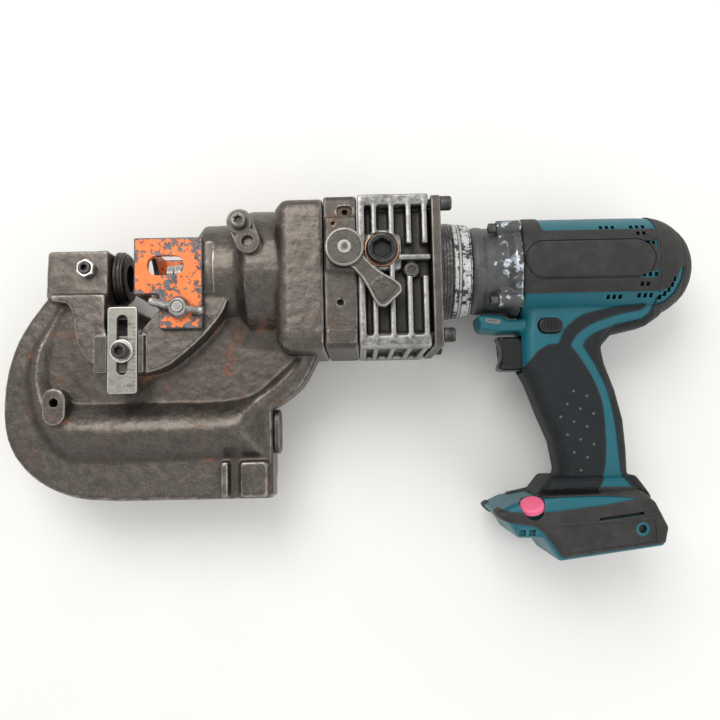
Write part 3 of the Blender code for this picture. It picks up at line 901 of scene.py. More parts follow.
class GroupNet(Net):
    """Net of a shared effect, with its inputs, place and scale at hand."""

    def __init__(self, effect: Effect, inputs: dict[str, float], size: str = "Size",
                 outputs: Sequence[str] = ("Mask",)) -> None:
        """Open a group with float inputs and outputs.

        Args:
            effect: The effect that it makes.
            inputs: Input names with their usual values.
            size: The input that gives the effect's size in millimetres.
            outputs: Output names; one called Colour carries a colour.
        """
        tree = bpy.data.node_groups.new(effect.value, "ShaderNodeTree")
        super().__init__(tree)
        EFFECTS[effect] = tree
        for key, value in inputs.items():
            socket = tree.interface.new_socket(name=key, in_out="INPUT",
                                               socket_type="NodeSocketFloat")
            socket.default_value = value
        for key in outputs:
            kind = "NodeSocketColor" if key == "Colour" else "NodeSocketFloat"
            tree.interface.new_socket(name=key, in_out="OUTPUT", socket_type=kind)
        self.given = tree.nodes.new("NodeGroupInput").outputs
        self.leave = tree.nodes.new("NodeGroupOutput").inputs
        self.at = self.place()
        self.scale = self.math("DIVIDE", 1.0, self.given[size])

    def close(self, **results: Socket) -> None:
        """Lead results to the group's outputs of the same names."""
        for key, value in results.items():
            self.tree.links.new(value, self.leave[key])


class EffectShelf:
    """Builds each shared effect once as a shader node group."""

    def build(self) -> None:
        """Fill EFFECTS."""
        for make in (self.grain, self.edge_rub_and_highlight, self.grime_and_shade, self.rust, self.scratches,
                     self.chips, self.dust):
            make()

    def grain(self) -> None:
        """Fine skin of a surface: a height from 0 to 1."""
        net = GroupNet(Effect.GRAIN, {"Size": 1.0, "Coarse": 0.4}, outputs=["Value"])
        share = net.given["Coarse"]
        fine = net.noise(net.at, net.scale, 2.0)
        broad = net.noise(net.at, net.times(net.scale, 0.22), 3.0)
        net.close(Value=net.plus(net.times(broad, share),
                                 net.times(fine, net.minus(1.0, share))))

    def edge_rub_and_highlight(self) -> None:
        """Rubbed corners, broken up over a patch size; on bare metal they are also painted
        highlights.
        """
        net = GroupNet(Effect.EDGE_RUB_AND_HIGHLIGHT, {"Amount": 1.0, "Patch": 6.0}, "Patch")
        patch = net.noise(net.at, net.scale, 4.0, 0.65)
        edge = net.times(net.kept("edge"), net.given["Amount"])
        value = net.plus(edge, net.times(patch, 0.9))
        net.close(Mask=net.span(value, 0.62, 1.15))

    def grime_and_shade(self) -> None:
        """Oil and dirt in soft patches, and darkening in the hollows that is dirt and
        painted shade.
        """
        net = GroupNet(Effect.GRIME_AND_SHADE, {"Amount": 0.5, "Size": 18.0})
        cloud = net.span(net.noise(net.at, net.scale, 5.0, 0.62), 0.42, 0.72)
        # The hollow term is painted shade as well as dirt.
        value = net.plus(net.times(net.kept("hollow"), 0.95), net.times(cloud, 0.6))
        net.close(Mask=net.times(value, net.given["Amount"], clamp=True))

    def rust(self) -> None:
        """Patches of rust, thicker in the hollows, with its own varied colour."""
        net = GroupNet(Effect.RUST, {"Amount": 0.5, "Size": 9.0},
                       outputs=["Mask", "Colour"])
        broad = net.noise(net.at, net.times(net.scale, 0.4), 2.0)
        fine = net.noise(net.at, net.scale, 6.0, 0.7)
        value = net.plus(net.times(broad, 0.9), net.times(fine, 0.6))
        value = net.plus(value, net.times(net.kept("hollow"), 0.10))
        value = net.plus(value, net.times(net.given["Amount"], 0.3))
        tint = net.noise(net.at, net.times(net.scale, 3.0), 4.0, 0.7)
        colour = net.mix(net.span(tint, 0.35, 0.65), (0.085, 0.030, 0.014, 1.0),
                         (0.240, 0.085, 0.032, 1.0))
        net.close(Mask=net.span(value, 0.97, 1.20), Colour=colour)

    def scratches(self) -> None:
        """Short scratches in two directions."""
        net = GroupNet(Effect.SCRATCHES, {"Amount": 0.5, "Length": 16.0}, "Length")
        lines = []
        for turn, lift in ((0.5, 0.0), (-0.9, 37.0)):
            stretched = net.node("Mapping", {
                "Vector": net.at, "Location": (lift, lift, 0.0),
                "Rotation": (0.2, 0.3, turn), "Scale": (1.0, 26.0, 8.0)}).outputs[0]
            lines.append(net.span(net.noise(stretched, net.scale, 1.0), 0.69, 0.73))
        net.close(Mask=net.times(net.most(*lines), net.given["Amount"], clamp=True))

    def chips(self) -> None:
        """Flaked coating: hard-edged spots that gather along the edges."""
        net = GroupNet(Effect.CHIPS, {"Amount": 0.5, "Size": 4.0, "Rim": 0.3})
        spots = net.noise(net.at, net.scale, 5.0, 0.6)
        broad = net.noise(net.at, net.times(net.scale, 0.17), 2.0)
        value = net.plus(net.times(spots, 0.75), net.times(broad, 0.55))
        value = net.plus(value, net.times(net.kept("edge"), net.given["Rim"]))
        value = net.plus(value, net.times(net.given["Amount"], 0.3))
        net.close(Mask=net.span(value, 0.97, 1.01))

    def dust(self) -> None:
        """Pale dust in soft clouds and fine specks."""
        net = GroupNet(Effect.DUST, {"Amount": 0.3, "Size": 12.0})
        cloud = net.span(net.noise(net.at, net.scale, 6.0, 0.68), 0.40, 0.70)
        specks = net.span(net.noise(net.at, 1.1, 2.0), 0.66, 0.72)
        value = net.plus(cloud, net.times(specks, 0.7))
        net.close(Mask=net.times(value, net.given["Amount"], clamp=True))


def opaque(colour: Colour, share: Union[float, Colour] = 1.0
           ) -> tuple[float, float, float, float]:
    """Colour with full alpha, each channel cut to a share of itself."""
    shares = share if isinstance(share, tuple) else (share,) * 3
    return (*(c * k for c, k in zip(colour, shares)), 1.0)


def open_material(name: str) -> tuple[bpy.types.Material, Net]:
    """New empty material and its net."""
    made = bpy.data.materials.new(name)
    made.use_nodes = True
    return made, Net(made.node_tree)


def close_material(net: Net, height: Socket, relief: float, **sockets: object) -> None:
    """Add the shader, its bump and the output.

    Args:
        net: The material's net.
        height: Height of the fine relief from 0 to 1.
        relief: Its depth in millimetres.
        sockets: Values for the shader, with _ for a space in the socket's name.
    """
    bump = net.node("Bump", {"Height": height, "Strength": 1.0,
                             "Distance": relief * MM}).outputs[0]
    values = {key.replace("_", " "): value for key, value in sockets.items()}
    shader = net.node("BsdfPrincipled", {"Normal": bump, **values})
    net.node("OutputMaterial", {"Surface": shader.outputs[0]})


@dataclass(frozen=True)
class WornMetal:
    """Bare metal: rubbed edges partly painted highlight, dirt and painted shade,
    scratches, rust.
    """

    name: str
    body: Colour
    dark: Colour
    bright: Colour
    metallic: float = 0.85
    roughness: float = 0.42
    edge: float = 0.8
    patch: float = 6.0
    rust: float = 0.3
    rust_size: float = 9.0
    grime_and_shade: float = 0.6
    scratches: float = 0.4
    grain: float = 1.2
    relief: float = 0.10
    coarse: float = 0.45
    oil_and_shade_share: Colour = (0.46, 0.40, 0.34)

    def material(self) -> bpy.types.Material:
        """Build the node material.

        Returns:
            The new material.
        """
        made, net = open_material(self.name)
        grain = net.mask(Effect.GRAIN, size=self.grain, coarse=self.coarse)
        edge = net.mask(Effect.EDGE_RUB_AND_HIGHLIGHT, amount=self.edge, patch=self.patch)
        grime_and_shade = net.mask(Effect.GRIME_AND_SHADE, amount=self.grime_and_shade)
        lines = net.mask(Effect.SCRATCHES, amount=self.scratches)
        rusted = net.use(Effect.RUST, amount=self.rust, size=self.rust_size).outputs
        rust = rusted["Mask"]
        base = net.mix(net.span(grain, 0.36, 0.62), opaque(self.dark), opaque(self.body))
        # Rims lightened to the bright colour: rubbed wear and painted highlight.
        rubbed_and_highlit = net.most(net.times(edge, min(1.0, self.edge)), net.times(lines, 0.6))
        colour = net.mix(rubbed_and_highlit, base, opaque(self.bright))
        # Hollows and patches darkened: dirt and painted shade.
        colour = net.mix(net.times(grime_and_shade, 0.85), colour,
                         opaque(self.dark, self.oil_and_shade_share))
        colour = net.mix(rust, colour, rusted["Colour"])
        rough = net.plus(self.roughness - 0.08, net.times(grain, 0.24))
        rough = net.minus(rough, net.times(rubbed_and_highlit, 0.12))
        rough = net.plus(rough, net.times(rust, 0.35), clamp=True)
        metal = net.times(net.minus(1.0, rust), self.metallic)
        metal = net.minus(metal, net.times(grime_and_shade, 0.3), clamp=True)
        close_material(net, grain, self.relief, Base_Color=colour, Roughness=rough,
                       Metallic=metal)
        return made


@dataclass(frozen=True)
class ChippedPaint:
    """Coating that has flaked down to the metal under it."""

    name: str
    paint: Colour
    faded: Colour
    under: Colour
    amount: float = 0.4
    size: float = 4.0
    roughness: float = 0.42
    grime_and_shade: float = 0.4
    under_metallic: float = 0.7
    relief: float = 0.10
    grain: float = 1.4
    scratches: float = 0.4
    rim: float = 0.3

    def material(self) -> bpy.types.Material:
        """Build the node material.

        Returns:
            The new material.
        """
        made, net = open_material(self.name)
        grain = net.mask(Effect.GRAIN, size=self.grain, coarse=0.5)
        chips = net.mask(Effect.CHIPS, amount=self.amount, size=self.size, rim=self.rim)
        grime_and_shade = net.mask(Effect.GRIME_AND_SHADE, amount=self.grime_and_shade)
        lines = net.mask(Effect.SCRATCHES, amount=self.scratches)
        paint = net.mix(net.span(grain, 0.38, 0.62), opaque(self.paint),
                        opaque(self.faded))
        # Paint darkened by dirt and by painted shade in the hollows.
        dirty_and_shaded = net.mix(net.times(grime_and_shade, 0.6), paint, opaque(self.paint, 0.25))
        metal = net.mix(net.span(grain, 0.40, 0.60), opaque(self.under, 0.45),
                        opaque(self.under))
        bare = net.most(chips, net.times(lines, 0.55))
        rough = net.plus(net.times(grain, 0.2), self.roughness - 0.1)
        close_material(net, net.minus(net.times(grain, 0.5), chips), self.relief,
                       Base_Color=net.mix(bare, dirty_and_shaded, metal), Roughness=rough,
                       Metallic=net.times(bare, self.under_metallic))
        return made


@dataclass(frozen=True)
class Moulded:
    """Moulded plastic or rubber with grain, scuffs and dust."""

    name: str
    colour: Colour
    scuffed: Colour
    dusty: Colour
    roughness: float = 0.5
    edge: float = 0.5
    dust: float = 0.3
    grime_and_shade: float = 0.3
    scratches: float = 0.3
    grain: float = 0.5
    relief: float = 0.05
    coat: float = 0.0
    specular: float = 0.35

    def material(self) -> bpy.types.Material:
        """Build the node material.

        Returns:
            The new material.
        """
        made, net = open_material(self.name)
        grain = net.mask(Effect.GRAIN, size=self.grain, coarse=0.25)
        edge = net.mask(Effect.EDGE_RUB_AND_HIGHLIGHT, amount=self.edge, patch=8.0)
        grime_and_shade = net.mask(Effect.GRIME_AND_SHADE, amount=self.grime_and_shade, size=24.0)
        dust = net.mask(Effect.DUST, amount=self.dust)
        lines = net.mask(Effect.SCRATCHES, amount=self.scratches, length=22.0)
        scuff = net.most(net.times(edge, self.edge), net.times(lines, 0.7))
        colour = net.mix(scuff, opaque(self.colour), opaque(self.scuffed))
        colour = net.mix(dust, colour, opaque(self.dusty))
        # Darkened by dirt and by painted shade in the hollows.
        colour = net.mix(net.times(grime_and_shade, 0.7), colour, opaque(self.colour, 0.35))
        rough = net.plus(self.roughness - 0.06, net.times(grain, 0.12))
        rough = net.plus(rough, net.times(dust, 0.25), clamp=True)
        close_material(net, grain, self.relief, Base_Color=colour, Roughness=rough,
                       Coat_Weight=self.coat, Specular_IOR_Level=self.specular)
        return made


# FORGED: its bright rim colour is rubbed wear and painted highlight.
FORGED = WornMetal("forged_steel_finish", (0.142, 0.123, 0.107), (0.092, 0.080, 0.070),
                   (0.42, 0.39, 0.35), metallic=0.88, roughness=0.33, edge=0.62,
                   rust=0.27, grime_and_shade=0.62, scratches=0.12, grain=1.5, relief=0.16)
HEAD_STEEL = WornMetal("hydraulic_head_finish", (0.108, 0.095, 0.082),
                       (0.070, 0.062, 0.054), (0.32, 0.30, 0.27), metallic=0.80,
                       roughness=0.40, edge=0.6, rust=0.18, grime_and_shade=0.55, scratches=0.12,
                       grain=1.3, relief=0.10)
LEVER_STEEL = WornMetal("release_lever_finish", (0.105, 0.096, 0.082),
                        (0.062, 0.060, 0.050), (0.42, 0.40, 0.36), metallic=0.75,
                        roughness=0.40, edge=0.85, rust=0.05, grime_and_shade=0.5, scratches=0.2,
                        grain=1.4, relief=0.08)
LEVER_PAINT = ChippedPaint("lever_paint_finish", (0.060, 0.260, 0.110),
                           (0.130, 0.360, 0.190), (0.10, 0.095, 0.085), amount=0.5,
                           size=1.5)
BRIGHT = WornMetal("bright_steel_finish", (0.46, 0.44, 0.41), (0.30, 0.285, 0.26),
                   (0.74, 0.73, 0.70), metallic=0.95, roughness=0.33, rust=0.04,
                   rust_size=5.0, grime_and_shade=0.45, scratches=0.2, grain=0.8, relief=0.03)
ZINC = WornMetal("zinc_finish", (0.33, 0.325, 0.31), (0.20, 0.195, 0.18),
                 (0.50, 0.49, 0.47), metallic=0.85, roughness=0.40, rust=0.08,
                 rust_size=5.0, grime_and_shade=0.45, scratches=0.2, grain=1.0, relief=0.06)
RULE_STEEL = WornMetal("rule_finish", (0.285, 0.280, 0.245), (0.205, 0.200, 0.170),
                       (0.60, 0.59, 0.54), metallic=0.75, roughness=0.38, rust=0.04,
                       grime_and_shade=0.35, scratches=0.35, grain=1.2, relief=0.03)
OXIDE = WornMetal("black_oxide_finish", (0.028, 0.027, 0.026), (0.014, 0.014, 0.013),
                  (0.20, 0.19, 0.18), metallic=0.7, roughness=0.38, edge=0.55, rust=0.04,
                  grime_and_shade=0.4, scratches=0.15, grain=1.0, relief=0.04)
# FIN_ALLOY's full dirt amount darkens the fin gaps: dirt and painted shade.
FIN_ALLOY = WornMetal("finned_alloy_finish", (0.135, 0.130, 0.120),
                      (0.058, 0.055, 0.050), (0.40, 0.395, 0.38), metallic=0.75,
                      roughness=0.43, edge=0.92, patch=2.6, rust=0.0, grime_and_shade=1.0,
                      scratches=0.12, grain=1.6, relief=0.16)
COPPER = WornMetal("copper_finish", (0.40, 0.20, 0.11), (0.22, 0.10, 0.06),
                   (0.70, 0.40, 0.26), metallic=0.95, roughness=0.35, rust=0.0,
                   grain=0.8, relief=0.03)
ORANGE = ChippedPaint("orange_paint_finish", (0.88, 0.172, 0.020), (0.88, 0.215, 0.038),
                      (0.140, 0.140, 0.150), amount=0.88, size=3.6, roughness=0.42,
                      grime_and_shade=0.22, scratches=0.25, rim=0.42)
GEAR_PAINT = ChippedPaint("gear_case_finish", (0.046, 0.047, 0.047),
                          (0.070, 0.072, 0.072), (0.56, 0.60, 0.66), amount=0.76,
                          size=5.5, roughness=0.44, grime_and_shade=0.4, scratches=0.05, rim=0.06)
RING_PAINT = ChippedPaint("lock_ring_finish", (0.44, 0.435, 0.42), (0.60, 0.595, 0.575),
                          (0.060, 0.060, 0.060), amount=0.80, size=3.0, roughness=0.40,
                          grime_and_shade=0.5, under_metallic=0.3, scratches=0.15)
COLLAR_PAINT = ChippedPaint("collar_finish", (0.040, 0.038, 0.034), (0.060, 0.057, 0.051),
                            (0.20, 0.195, 0.19), amount=0.15, size=3.0, roughness=0.42,
                            scratches=0.10)
TEAL = Moulded("teal_plastic_finish", (0.0055, 0.108, 0.140), (0.045, 0.200, 0.235),
               (0.050, 0.150, 0.170), roughness=0.42, edge=0.5, dust=0.14, grime_and_shade=0.35,
               scratches=0.12, relief=0.04)
RUBBER = Moulded("dusty_rubber_finish", (0.021, 0.020, 0.019), (0.060, 0.057, 0.052),
                 (0.078, 0.072, 0.064), roughness=0.60, edge=0.5, dust=0.36, grime_and_shade=0.30,
                 scratches=0.12, grain=0.6, relief=0.07)
GRIP_RUBBER = Moulded("grip_rubber_finish", (0.0110, 0.0135, 0.0155),
                      (0.040, 0.043, 0.045), (0.040, 0.042, 0.042), roughness=0.56,
                      edge=0.5, dust=0.18, grime_and_shade=0.25, scratches=0.10, grain=0.5,
                      relief=0.06, specular=0.22)
STUD_RUBBER = Moulded("grip_stud_finish", (0.024, 0.027, 0.029), (0.120, 0.125, 0.120),
                      (0.100, 0.100, 0.095), roughness=0.55, edge=0.8, dust=0.4,
                      scratches=0.0)
BLACK = Moulded("black_plastic_finish", (0.0075, 0.0075, 0.0078), (0.050, 0.049, 0.047),
                (0.050, 0.048, 0.044), roughness=0.32, edge=0.5, dust=0.12, grime_and_shade=0.2,
                scratches=0.15, grain=0.5, relief=0.02)
TRIGGER_BLACK = Moulded("trigger_finish", (0.0070, 0.0070, 0.0074),
                        (0.060, 0.058, 0.055), (0.040, 0.040, 0.038), roughness=0.30,
                        edge=0.35, dust=0.05, grime_and_shade=0.15, scratches=0.10, grain=0.6,
                        relief=0.01)
LENS = Moulded("scuffed_lens_finish", (0.100, 0.100, 0.100), (0.22, 0.22, 0.22),
               (0.30, 0.29, 0.28), roughness=0.30, edge=0.8, dust=0.7, scratches=0.9,
               relief=0.05, coat=0.3)
PINK = Moulded("pink_plastic_finish", (0.78, 0.130, 0.240), (0.84, 0.30, 0.38),
               (0.66, 0.28, 0.34), roughness=0.42, edge=0.4, dust=0.2, grime_and_shade=0.4,
               scratches=0.1, grain=0.6, relief=0.03)
SEAL = Moulded("seal_finish", (0.20, 0.13, 0.07), (0.32, 0.24, 0.15), (0.30, 0.25, 0.18),
               roughness=0.55)
DECAL = Moulded("scale_ink_finish", (0.030, 0.030, 0.030), (0.10, 0.10, 0.10),
                (0.12, 0.12, 0.11), roughness=0.6, grain=0.3, relief=0.01)

Finish = Union[WornMetal, ChippedPaint, Moulded]
MADE: dict[str, bpy.types.Material] = {}


class Slot(Enum):
    """Material slot names."""

    FORGED = "forged_steel"
    BRIGHT = "bright_steel"
    OXIDE = "black_oxide"
    ORANGE = "orange_paint"
    CAST = "cast_aluminium"
    TEAL = "teal_plastic"
    BLACK = "black_plastic"
    RUBBER = "rubber"
    PINK = "pink_plastic"
    COPPER = "copper"
    SEAL = "seal"


def material_of(finish: Finish) -> bpy.types.Material:
    """The finish's material, made the first time it is asked for."""
    if finish.name not in MADE:
        MADE[finish.name] = finish.material()
    return MADE[finish.name]


def dress(piece: Object, name: str, body: str, finish: Finish,
          replaces: Sequence[str] = (), sharp: float = 35.0,
          proud: Optional[Point2] = None, valley: Optional[Outline] = None) -> Object:
    """Finish a piece and fix it to its body.

    Args:
        piece: Solid in working millimetres.
        name: The piece's name.
        body: CAD body that carries it.
        finish: Its finish.
        replaces: CAD nodes it stands for.
        sharp: Angle in degrees above which an edge stays sharp.
        proud: Passed on to mark_edges_and_hollows().
        valley: Passed on to mark_edges_and_hollows().

    Returns:
        The finished piece.
    """
    bm = bmesh.new()
    bm.from_mesh(piece.data)
    bmesh.ops.remove_doubles(bm, verts=bm.verts, dist=WELD)
    bmesh.ops.dissolve_degenerate(bm, edges=bm.edges, dist=SLIVER)
    bmesh.ops.delete(bm, geom=[v for v in bm.verts if not v.link_faces], context="VERTS")
    bm.to_mesh(piece.data)
    bm.free()
    mark_edges_and_hollows(piece, proud, valley)
    piece.data.transform(Matrix.Translation(DATUM) @ Matrix.Scale(MM, 4))
    piece.data.shade_smooth()
    piece.data.set_sharp_from_angle(angle=math.radians(sharp))
    piece.data.materials.clear()
    piece.data.materials.append(material_of(finish))
    piece.name = piece.data.name = name
    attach(piece, body)
    if replaces:
        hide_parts(*replaces)
    LOG.info("%s: %d faces on %s", name, len(piece.data.polygons), body)
    return piece


def cap_screw(origin: Sequence[float], axis: Sequence[float], low: float, high: float,
              radius: float, stem_end: float) -> Object:
    """Cap screw with a hexagon socket.

    Args:
        origin: Point on the screw's axis.
        axis: Direction its head faces.
        low: Underside of the head along the axis.
        high: Top of the head.
        radius: Radius of the head.
        stem_end: Where the stem ends.

    Returns:
        The screw.
    """
    stem = radius * 0.6
    body = turned([(stem_end, stem), (low, stem), (low, radius),
                   (high - 0.2 * radius, radius), (high, radius * 0.82)],
                  axis, origin, 36, 0.3)
    depth = high - 0.55 * (high - low)
    socket = turned([(depth, radius * 0.5), (high + 1, radius * 0.5),
                     (high + 1, 0)], axis, origin, 6, 0)
    return machine(body, socket)


# ----------------------------------------------------------- sub-assemblies

@dataclass
class CFrame:
    """Forged C-frame: throat, lower arm, cylinder barrel and mounting flange."""

    web_half: float = 14.0
    band_half: float = 26.0
    cheek_half: float = 30.0
    die_block_half: float = 24.0
    flange: tuple[float, float, float] = (42.0, -57.0, 47.0)
    bore: float = 27.2
    web: Outline = (
        (-205, -8), (-213, -19), (-222, -31), (-229, -43), (-234.5, -58), (-237.5, -75),
        (-238, -92), (-236, -108), (-230, -121), (-219, -134), (-204, -143.5),
        (-186, -149.5), (-160, -151), (-58.6, -151), (-58.6, -91.5), (-51, -87),
        (-40, -79), (-34, -70), (-28, -58), (-24, -51), (-24, -10), (-107, -10),
        (-109, -20), (-126, -22), (-141, -38), (-143.3, -43.7), (-149, -46),
        (-157, -46), (-162.7, -43.7), (-165, -38), (-165, -8))
    band: Outline = (
        (-203, -15), (-211, -31), (-222.6, -47), (-226, -65), (-224.6, -84),
        (-219, -103), (-208, -118.5), (-196, -127.5), (-138, -128), (-60.5, -127),
        (-60.5, -93), (-52.5, -88.5), (-41.5, -80), (-35, -70), (-30, -58), (-26, -50),
        (-26, -37.5), (-44.5, -37.5), (-45.5, -56), (-72, -80), (-92, -83), (-189, -83),
        (-200, -77), (-203.5, -68), (-202, -42), (-193, -26), (-186, -15))
    cheek: Outline = (
        (-202, -15), (-201, -19.5), (-190, -21.5), (-186, -29), (-185, -45),
        (-178, -58.5), (-168, -65), (-149, -69.4), (-136, -68), (-123, -63.5),
        (-103, -47), (-90, -32), (-84, -20), (-84, -5), (-102, -5), (-108, -20),
        (-126, -22), (-141, -38), (-143.3, -43.7), (-149, -46), (-157, -46),
        (-162.7, -43.7), (-165, -38), (-165, -15))
    # Sunken floor that the finish darkens: painted shade and dirt.
    valley: Outline = (
        (-206, -22), (-110, -22), (-60, -30), (-30, -30), (-30, -66), (-50, -84),
        (-92, -88), (-196, -90), (-208, -80))
    shoulder: Outline = (
        (-112, -2), (-26, -2), (-26, -48), (-36, -60), (-64, -63), (-86, -58),
        (-100, -40))
    die_block: Outline = (
        (-206.5, -17), (-205.5, 13.4), (-203.5, 15), (-165, 15), (-165, -17))

    def arms(self) -> list[Object]:
        """Web, swollen band, hollow shoulder, raised cheek and die block.

        Returns:
            Solids to be melted together.
        """
        return [
            prism(flow(self.web), -self.web_half, self.web_half, 3.0),
            pillow(flow(self.band), 11.0, self.band_half, 22.0),
            pillow(self.shoulder, 13.2, 30.0, 32.0, True),
            prism(flow(self.cheek, 3.0), -self.cheek_half, self.cheek_half, 1.6),
            prism(fillet(self.die_block, 1.5, 3), -self.die_block_half,
                  self.die_block_half, 1.8),
        ]

    def barrel(self) -> list[Object]:
        """Cylinder barrel in three steps with the flange behind it.

        Returns:
            Solids to be melted together.
        """
        top, bottom, half = self.flange
        rim = plate_outline(((top + bottom) / 2, 0), ((top - bottom) / 2, half), 11, 7)
        flange = loft([[(x, *p) for p in inset(rim, amount)] for x, amount in (
            (-53, 6.5), (-50.4, 3.0), (-48, 0.8), (-45, 0), (-23.4, 0), (-22, 1.0))])
        return [
            turned([(-109, 27), (-103, 34.8), (-80, 35.4), (-77, 38),
                    (-72.5, 43.8), (-30, 43.8)], radius=1.5),
            flange,
            prism(plate_outline((-97.5, 2), (2.6, 16), 1.5), -31.0, 31.0, 1.0),
        ]

    def bosses(self) -> list[Object]:
        """Hanger boss, tongue boss and the raised bar and pad at the lower end.

        Returns:
            Solids to be melted together.
        """
        return [
            prism(slot_outline((-74.8, 26.1), (-69.7, 13.4), 8.4), 20, 43.7, 0.8),
            prism(slot_outline((-198.6, -83.5), (-198.6, -93), 7.75), 16, 28.6, 1.4),
            block((-92, -149.4, -22), (-87, -126, 22), 1.5, 1.5),
            block((-80, -149.4, -20), (-61.5, -126, 20), 2.5, 2.0),
        ]

    def openings(self) -> list[Object]:
        """Bore, seats, slots and tapped holes.

        Returns:
            Their cutters.
        """
        return [
            bar((0, 0, 0), X_AXIS, -90, -17, self.bore, 64),
            turned([(-114, 16.5), (-109.2, 16.5), (-107, 14), (-85, 14)], radius=0),
            turned([(-215, 10), (-180, 10), (-180, 14), (-164.6, 14),
                    (-164.6, 22), (-159, 22)], radius=0),
            cutter((-115, -45, 30.6), (-94.3, 45, 60)),
            cutter((-115, -45, -60), (-94.3, 45, -30.6)),
            prism(slot_outline((-122.0, -26.6), (-109.0, -26.6), 3.5), -35, 0, 0),
            prism(plate_outline((-155, -55.5), (16.5, 12.4), 1.0), 26.8, 40, 0),
            bar((-178.7, 2.1, 0), Z_AXIS, 13, 30, 4.3),
            bar((-152.5, -53.8, 0), Z_AXIS, 10, 35, 3.5),
            bar((-115.5, -26.6, 0), Z_AXIS, -35, 35, 3.5),
            bar((-74.8, 26.1, 0), Z_AXIS, 24, 50, 3.5),
            bar((-198.4, -85.7, 0), Z_AXIS, 14, 40, 2.9),
            prism(fillet(((-164.9, -38), (-162.6, -43.6), (-157, -45.9), (-149, -45.9),
                          (-143.4, -43.6), (-141, -37.5), (-128, -24), (-128, 20),
                          (-164.9, 20)), 0.0), -60, 60, 0),
        ]

    def build(self) -> None:
        """Forge, machine and dress the frame."""
        body = melt(self.arms() + self.barrel() + self.bosses(), 0.85, 4)
        pit(body, 5.0, 0.35)
        machine(body, *self.openings())
        # valley darkens the sunken floor with painted shade and dirt.
        dress(body, "c_frame_forging", "frame", FORGED, ["c_frame"],
              valley=self.valley)
        self.end_plate()

    def end_plate(self) -> None:
        """Oval plate with two screws on the frame's lower end."""
        plate = prism(plate_outline((-107.2, 0), (14.75, 10), 9.5, 8), -58.2, -54.6, 0.7,
                      "yz")
        for y in (-116.0, -98.5):
            machine(plate, bar((0, y, 0), X_AXIS, -56, -50, 4.0))
            head = turned([(-57, 3.6), (-54.9, 3.6), (-54.0, 2.4), (-53.8, 0)],
                          X_AXIS, (0, y, 0), 32, 0.3)
            machine(head, cutter((-54.9, y - 3.0, -0.45), (-53.0, y + 3.0, 0.45)))
            plate = gather([plate, head])
        dress(plate, "oval_end_plate", "frame", HEAD_STEEL,
              ["frame_end_plate"])


@dataclass
class DieSeat:
    """Die button with its lock nut and set screw."""

    nut_at: Point2 = (-178.7, 2.1)
    nut_across: float = 6.3

    def build(self) -> None:
        """Turn the die, then make the nut and the screw."""
        loop = [(-179.7, 9.8), (-179.7, 13.7), (-164.4, 13.7), (-164.4, 18.3),
                (-163.0, 18.3), (-162.6, 17.6), (-162.0, 17.6), (-161.6, 18.3),
                (-160.2, 18.2), (-159.8, 17.4), (-159.2, 17.4), (-158.7, 17.2),
                (-157.0, 15.6), (-157.0, 9.3), (-162, 9.3)]
        dress(turned(loop, count=72, radius=0.35, tube=True), "die_button", "frame",
              OXIDE, ["die"])
        x, y = self.nut_at
        nut = prism(circle(self.nut_at, self.nut_across, 6, 0.4), 24.3, 30.0, 0.3)
        crown = turned([(22, 6.0), (29.2, 6.25), (30.3, 5.1)],
                       Z_AXIS, (x, y, 0), 48, 0)
        machine(nut, crown, operation="INTERSECT")
        machine(nut, bar((x, y, 0), Z_AXIS, 20, 35, 4.3))
        dress(nut, "die_hex_nut", "frame", BRIGHT, ["die_lock_nut"])
        screw = turned([(14.2, 3.9), (31.0, 3.9), (31.5, 3.4)],
                       Z_AXIS, (x, y, 0), 36, 0.3)
        machine(screw, turned([(28, 2.2), (33, 2.2)], Z_AXIS,
                              (x, y, 0), 6, 0))
        dress(screw, "die_grub_screw", "frame", OXIDE, ["die_set_screw"])


@dataclass
class PunchTrain:
    """Punch and its union nut on the end of the ram."""

    nut_radius: float = 13.4
    punch_radius: float = 8.7

    def build(self) -> None:
        """Turn the punch and cut the nut's spanner flats and slots."""
        r = self.punch_radius
        punch = turned([(-131, 7.9), (-130.4, 8.2), (-126, 8.2), (-125, r),
                        (-121, r), (-120.4, r - 0.5), (-119.4, r - 0.5), (-118.8, r),
                        (-110.3, r)], radius=0.3)
        machine(punch, turned([(-133, 1.2), (-129.6, 0.0)], radius=0,
                              count=24))
        dress(punch, "punch_tool", "ram", BRIGHT, ["punch"])
        n = self.nut_radius
        nut = turned([(-118, 9.0), (-118, n - 1.6), (-116.6, n), (-113.6, n),
                      (-113.2, n - 0.5), (-112.6, n - 0.5), (-112.2, n), (-110.3, n),
                      (-110.3, 9.0)], radius=0.25, tube=True)
        machine(nut, ring_of_bars((0, 0, 0), X_AXIS, n + 1.6, -119, -114.4, 3.0, 6, 24,
                                  0.5))
        dress(nut, "punch_union_nut", "ram", OXIDE, ["punch_nut"])


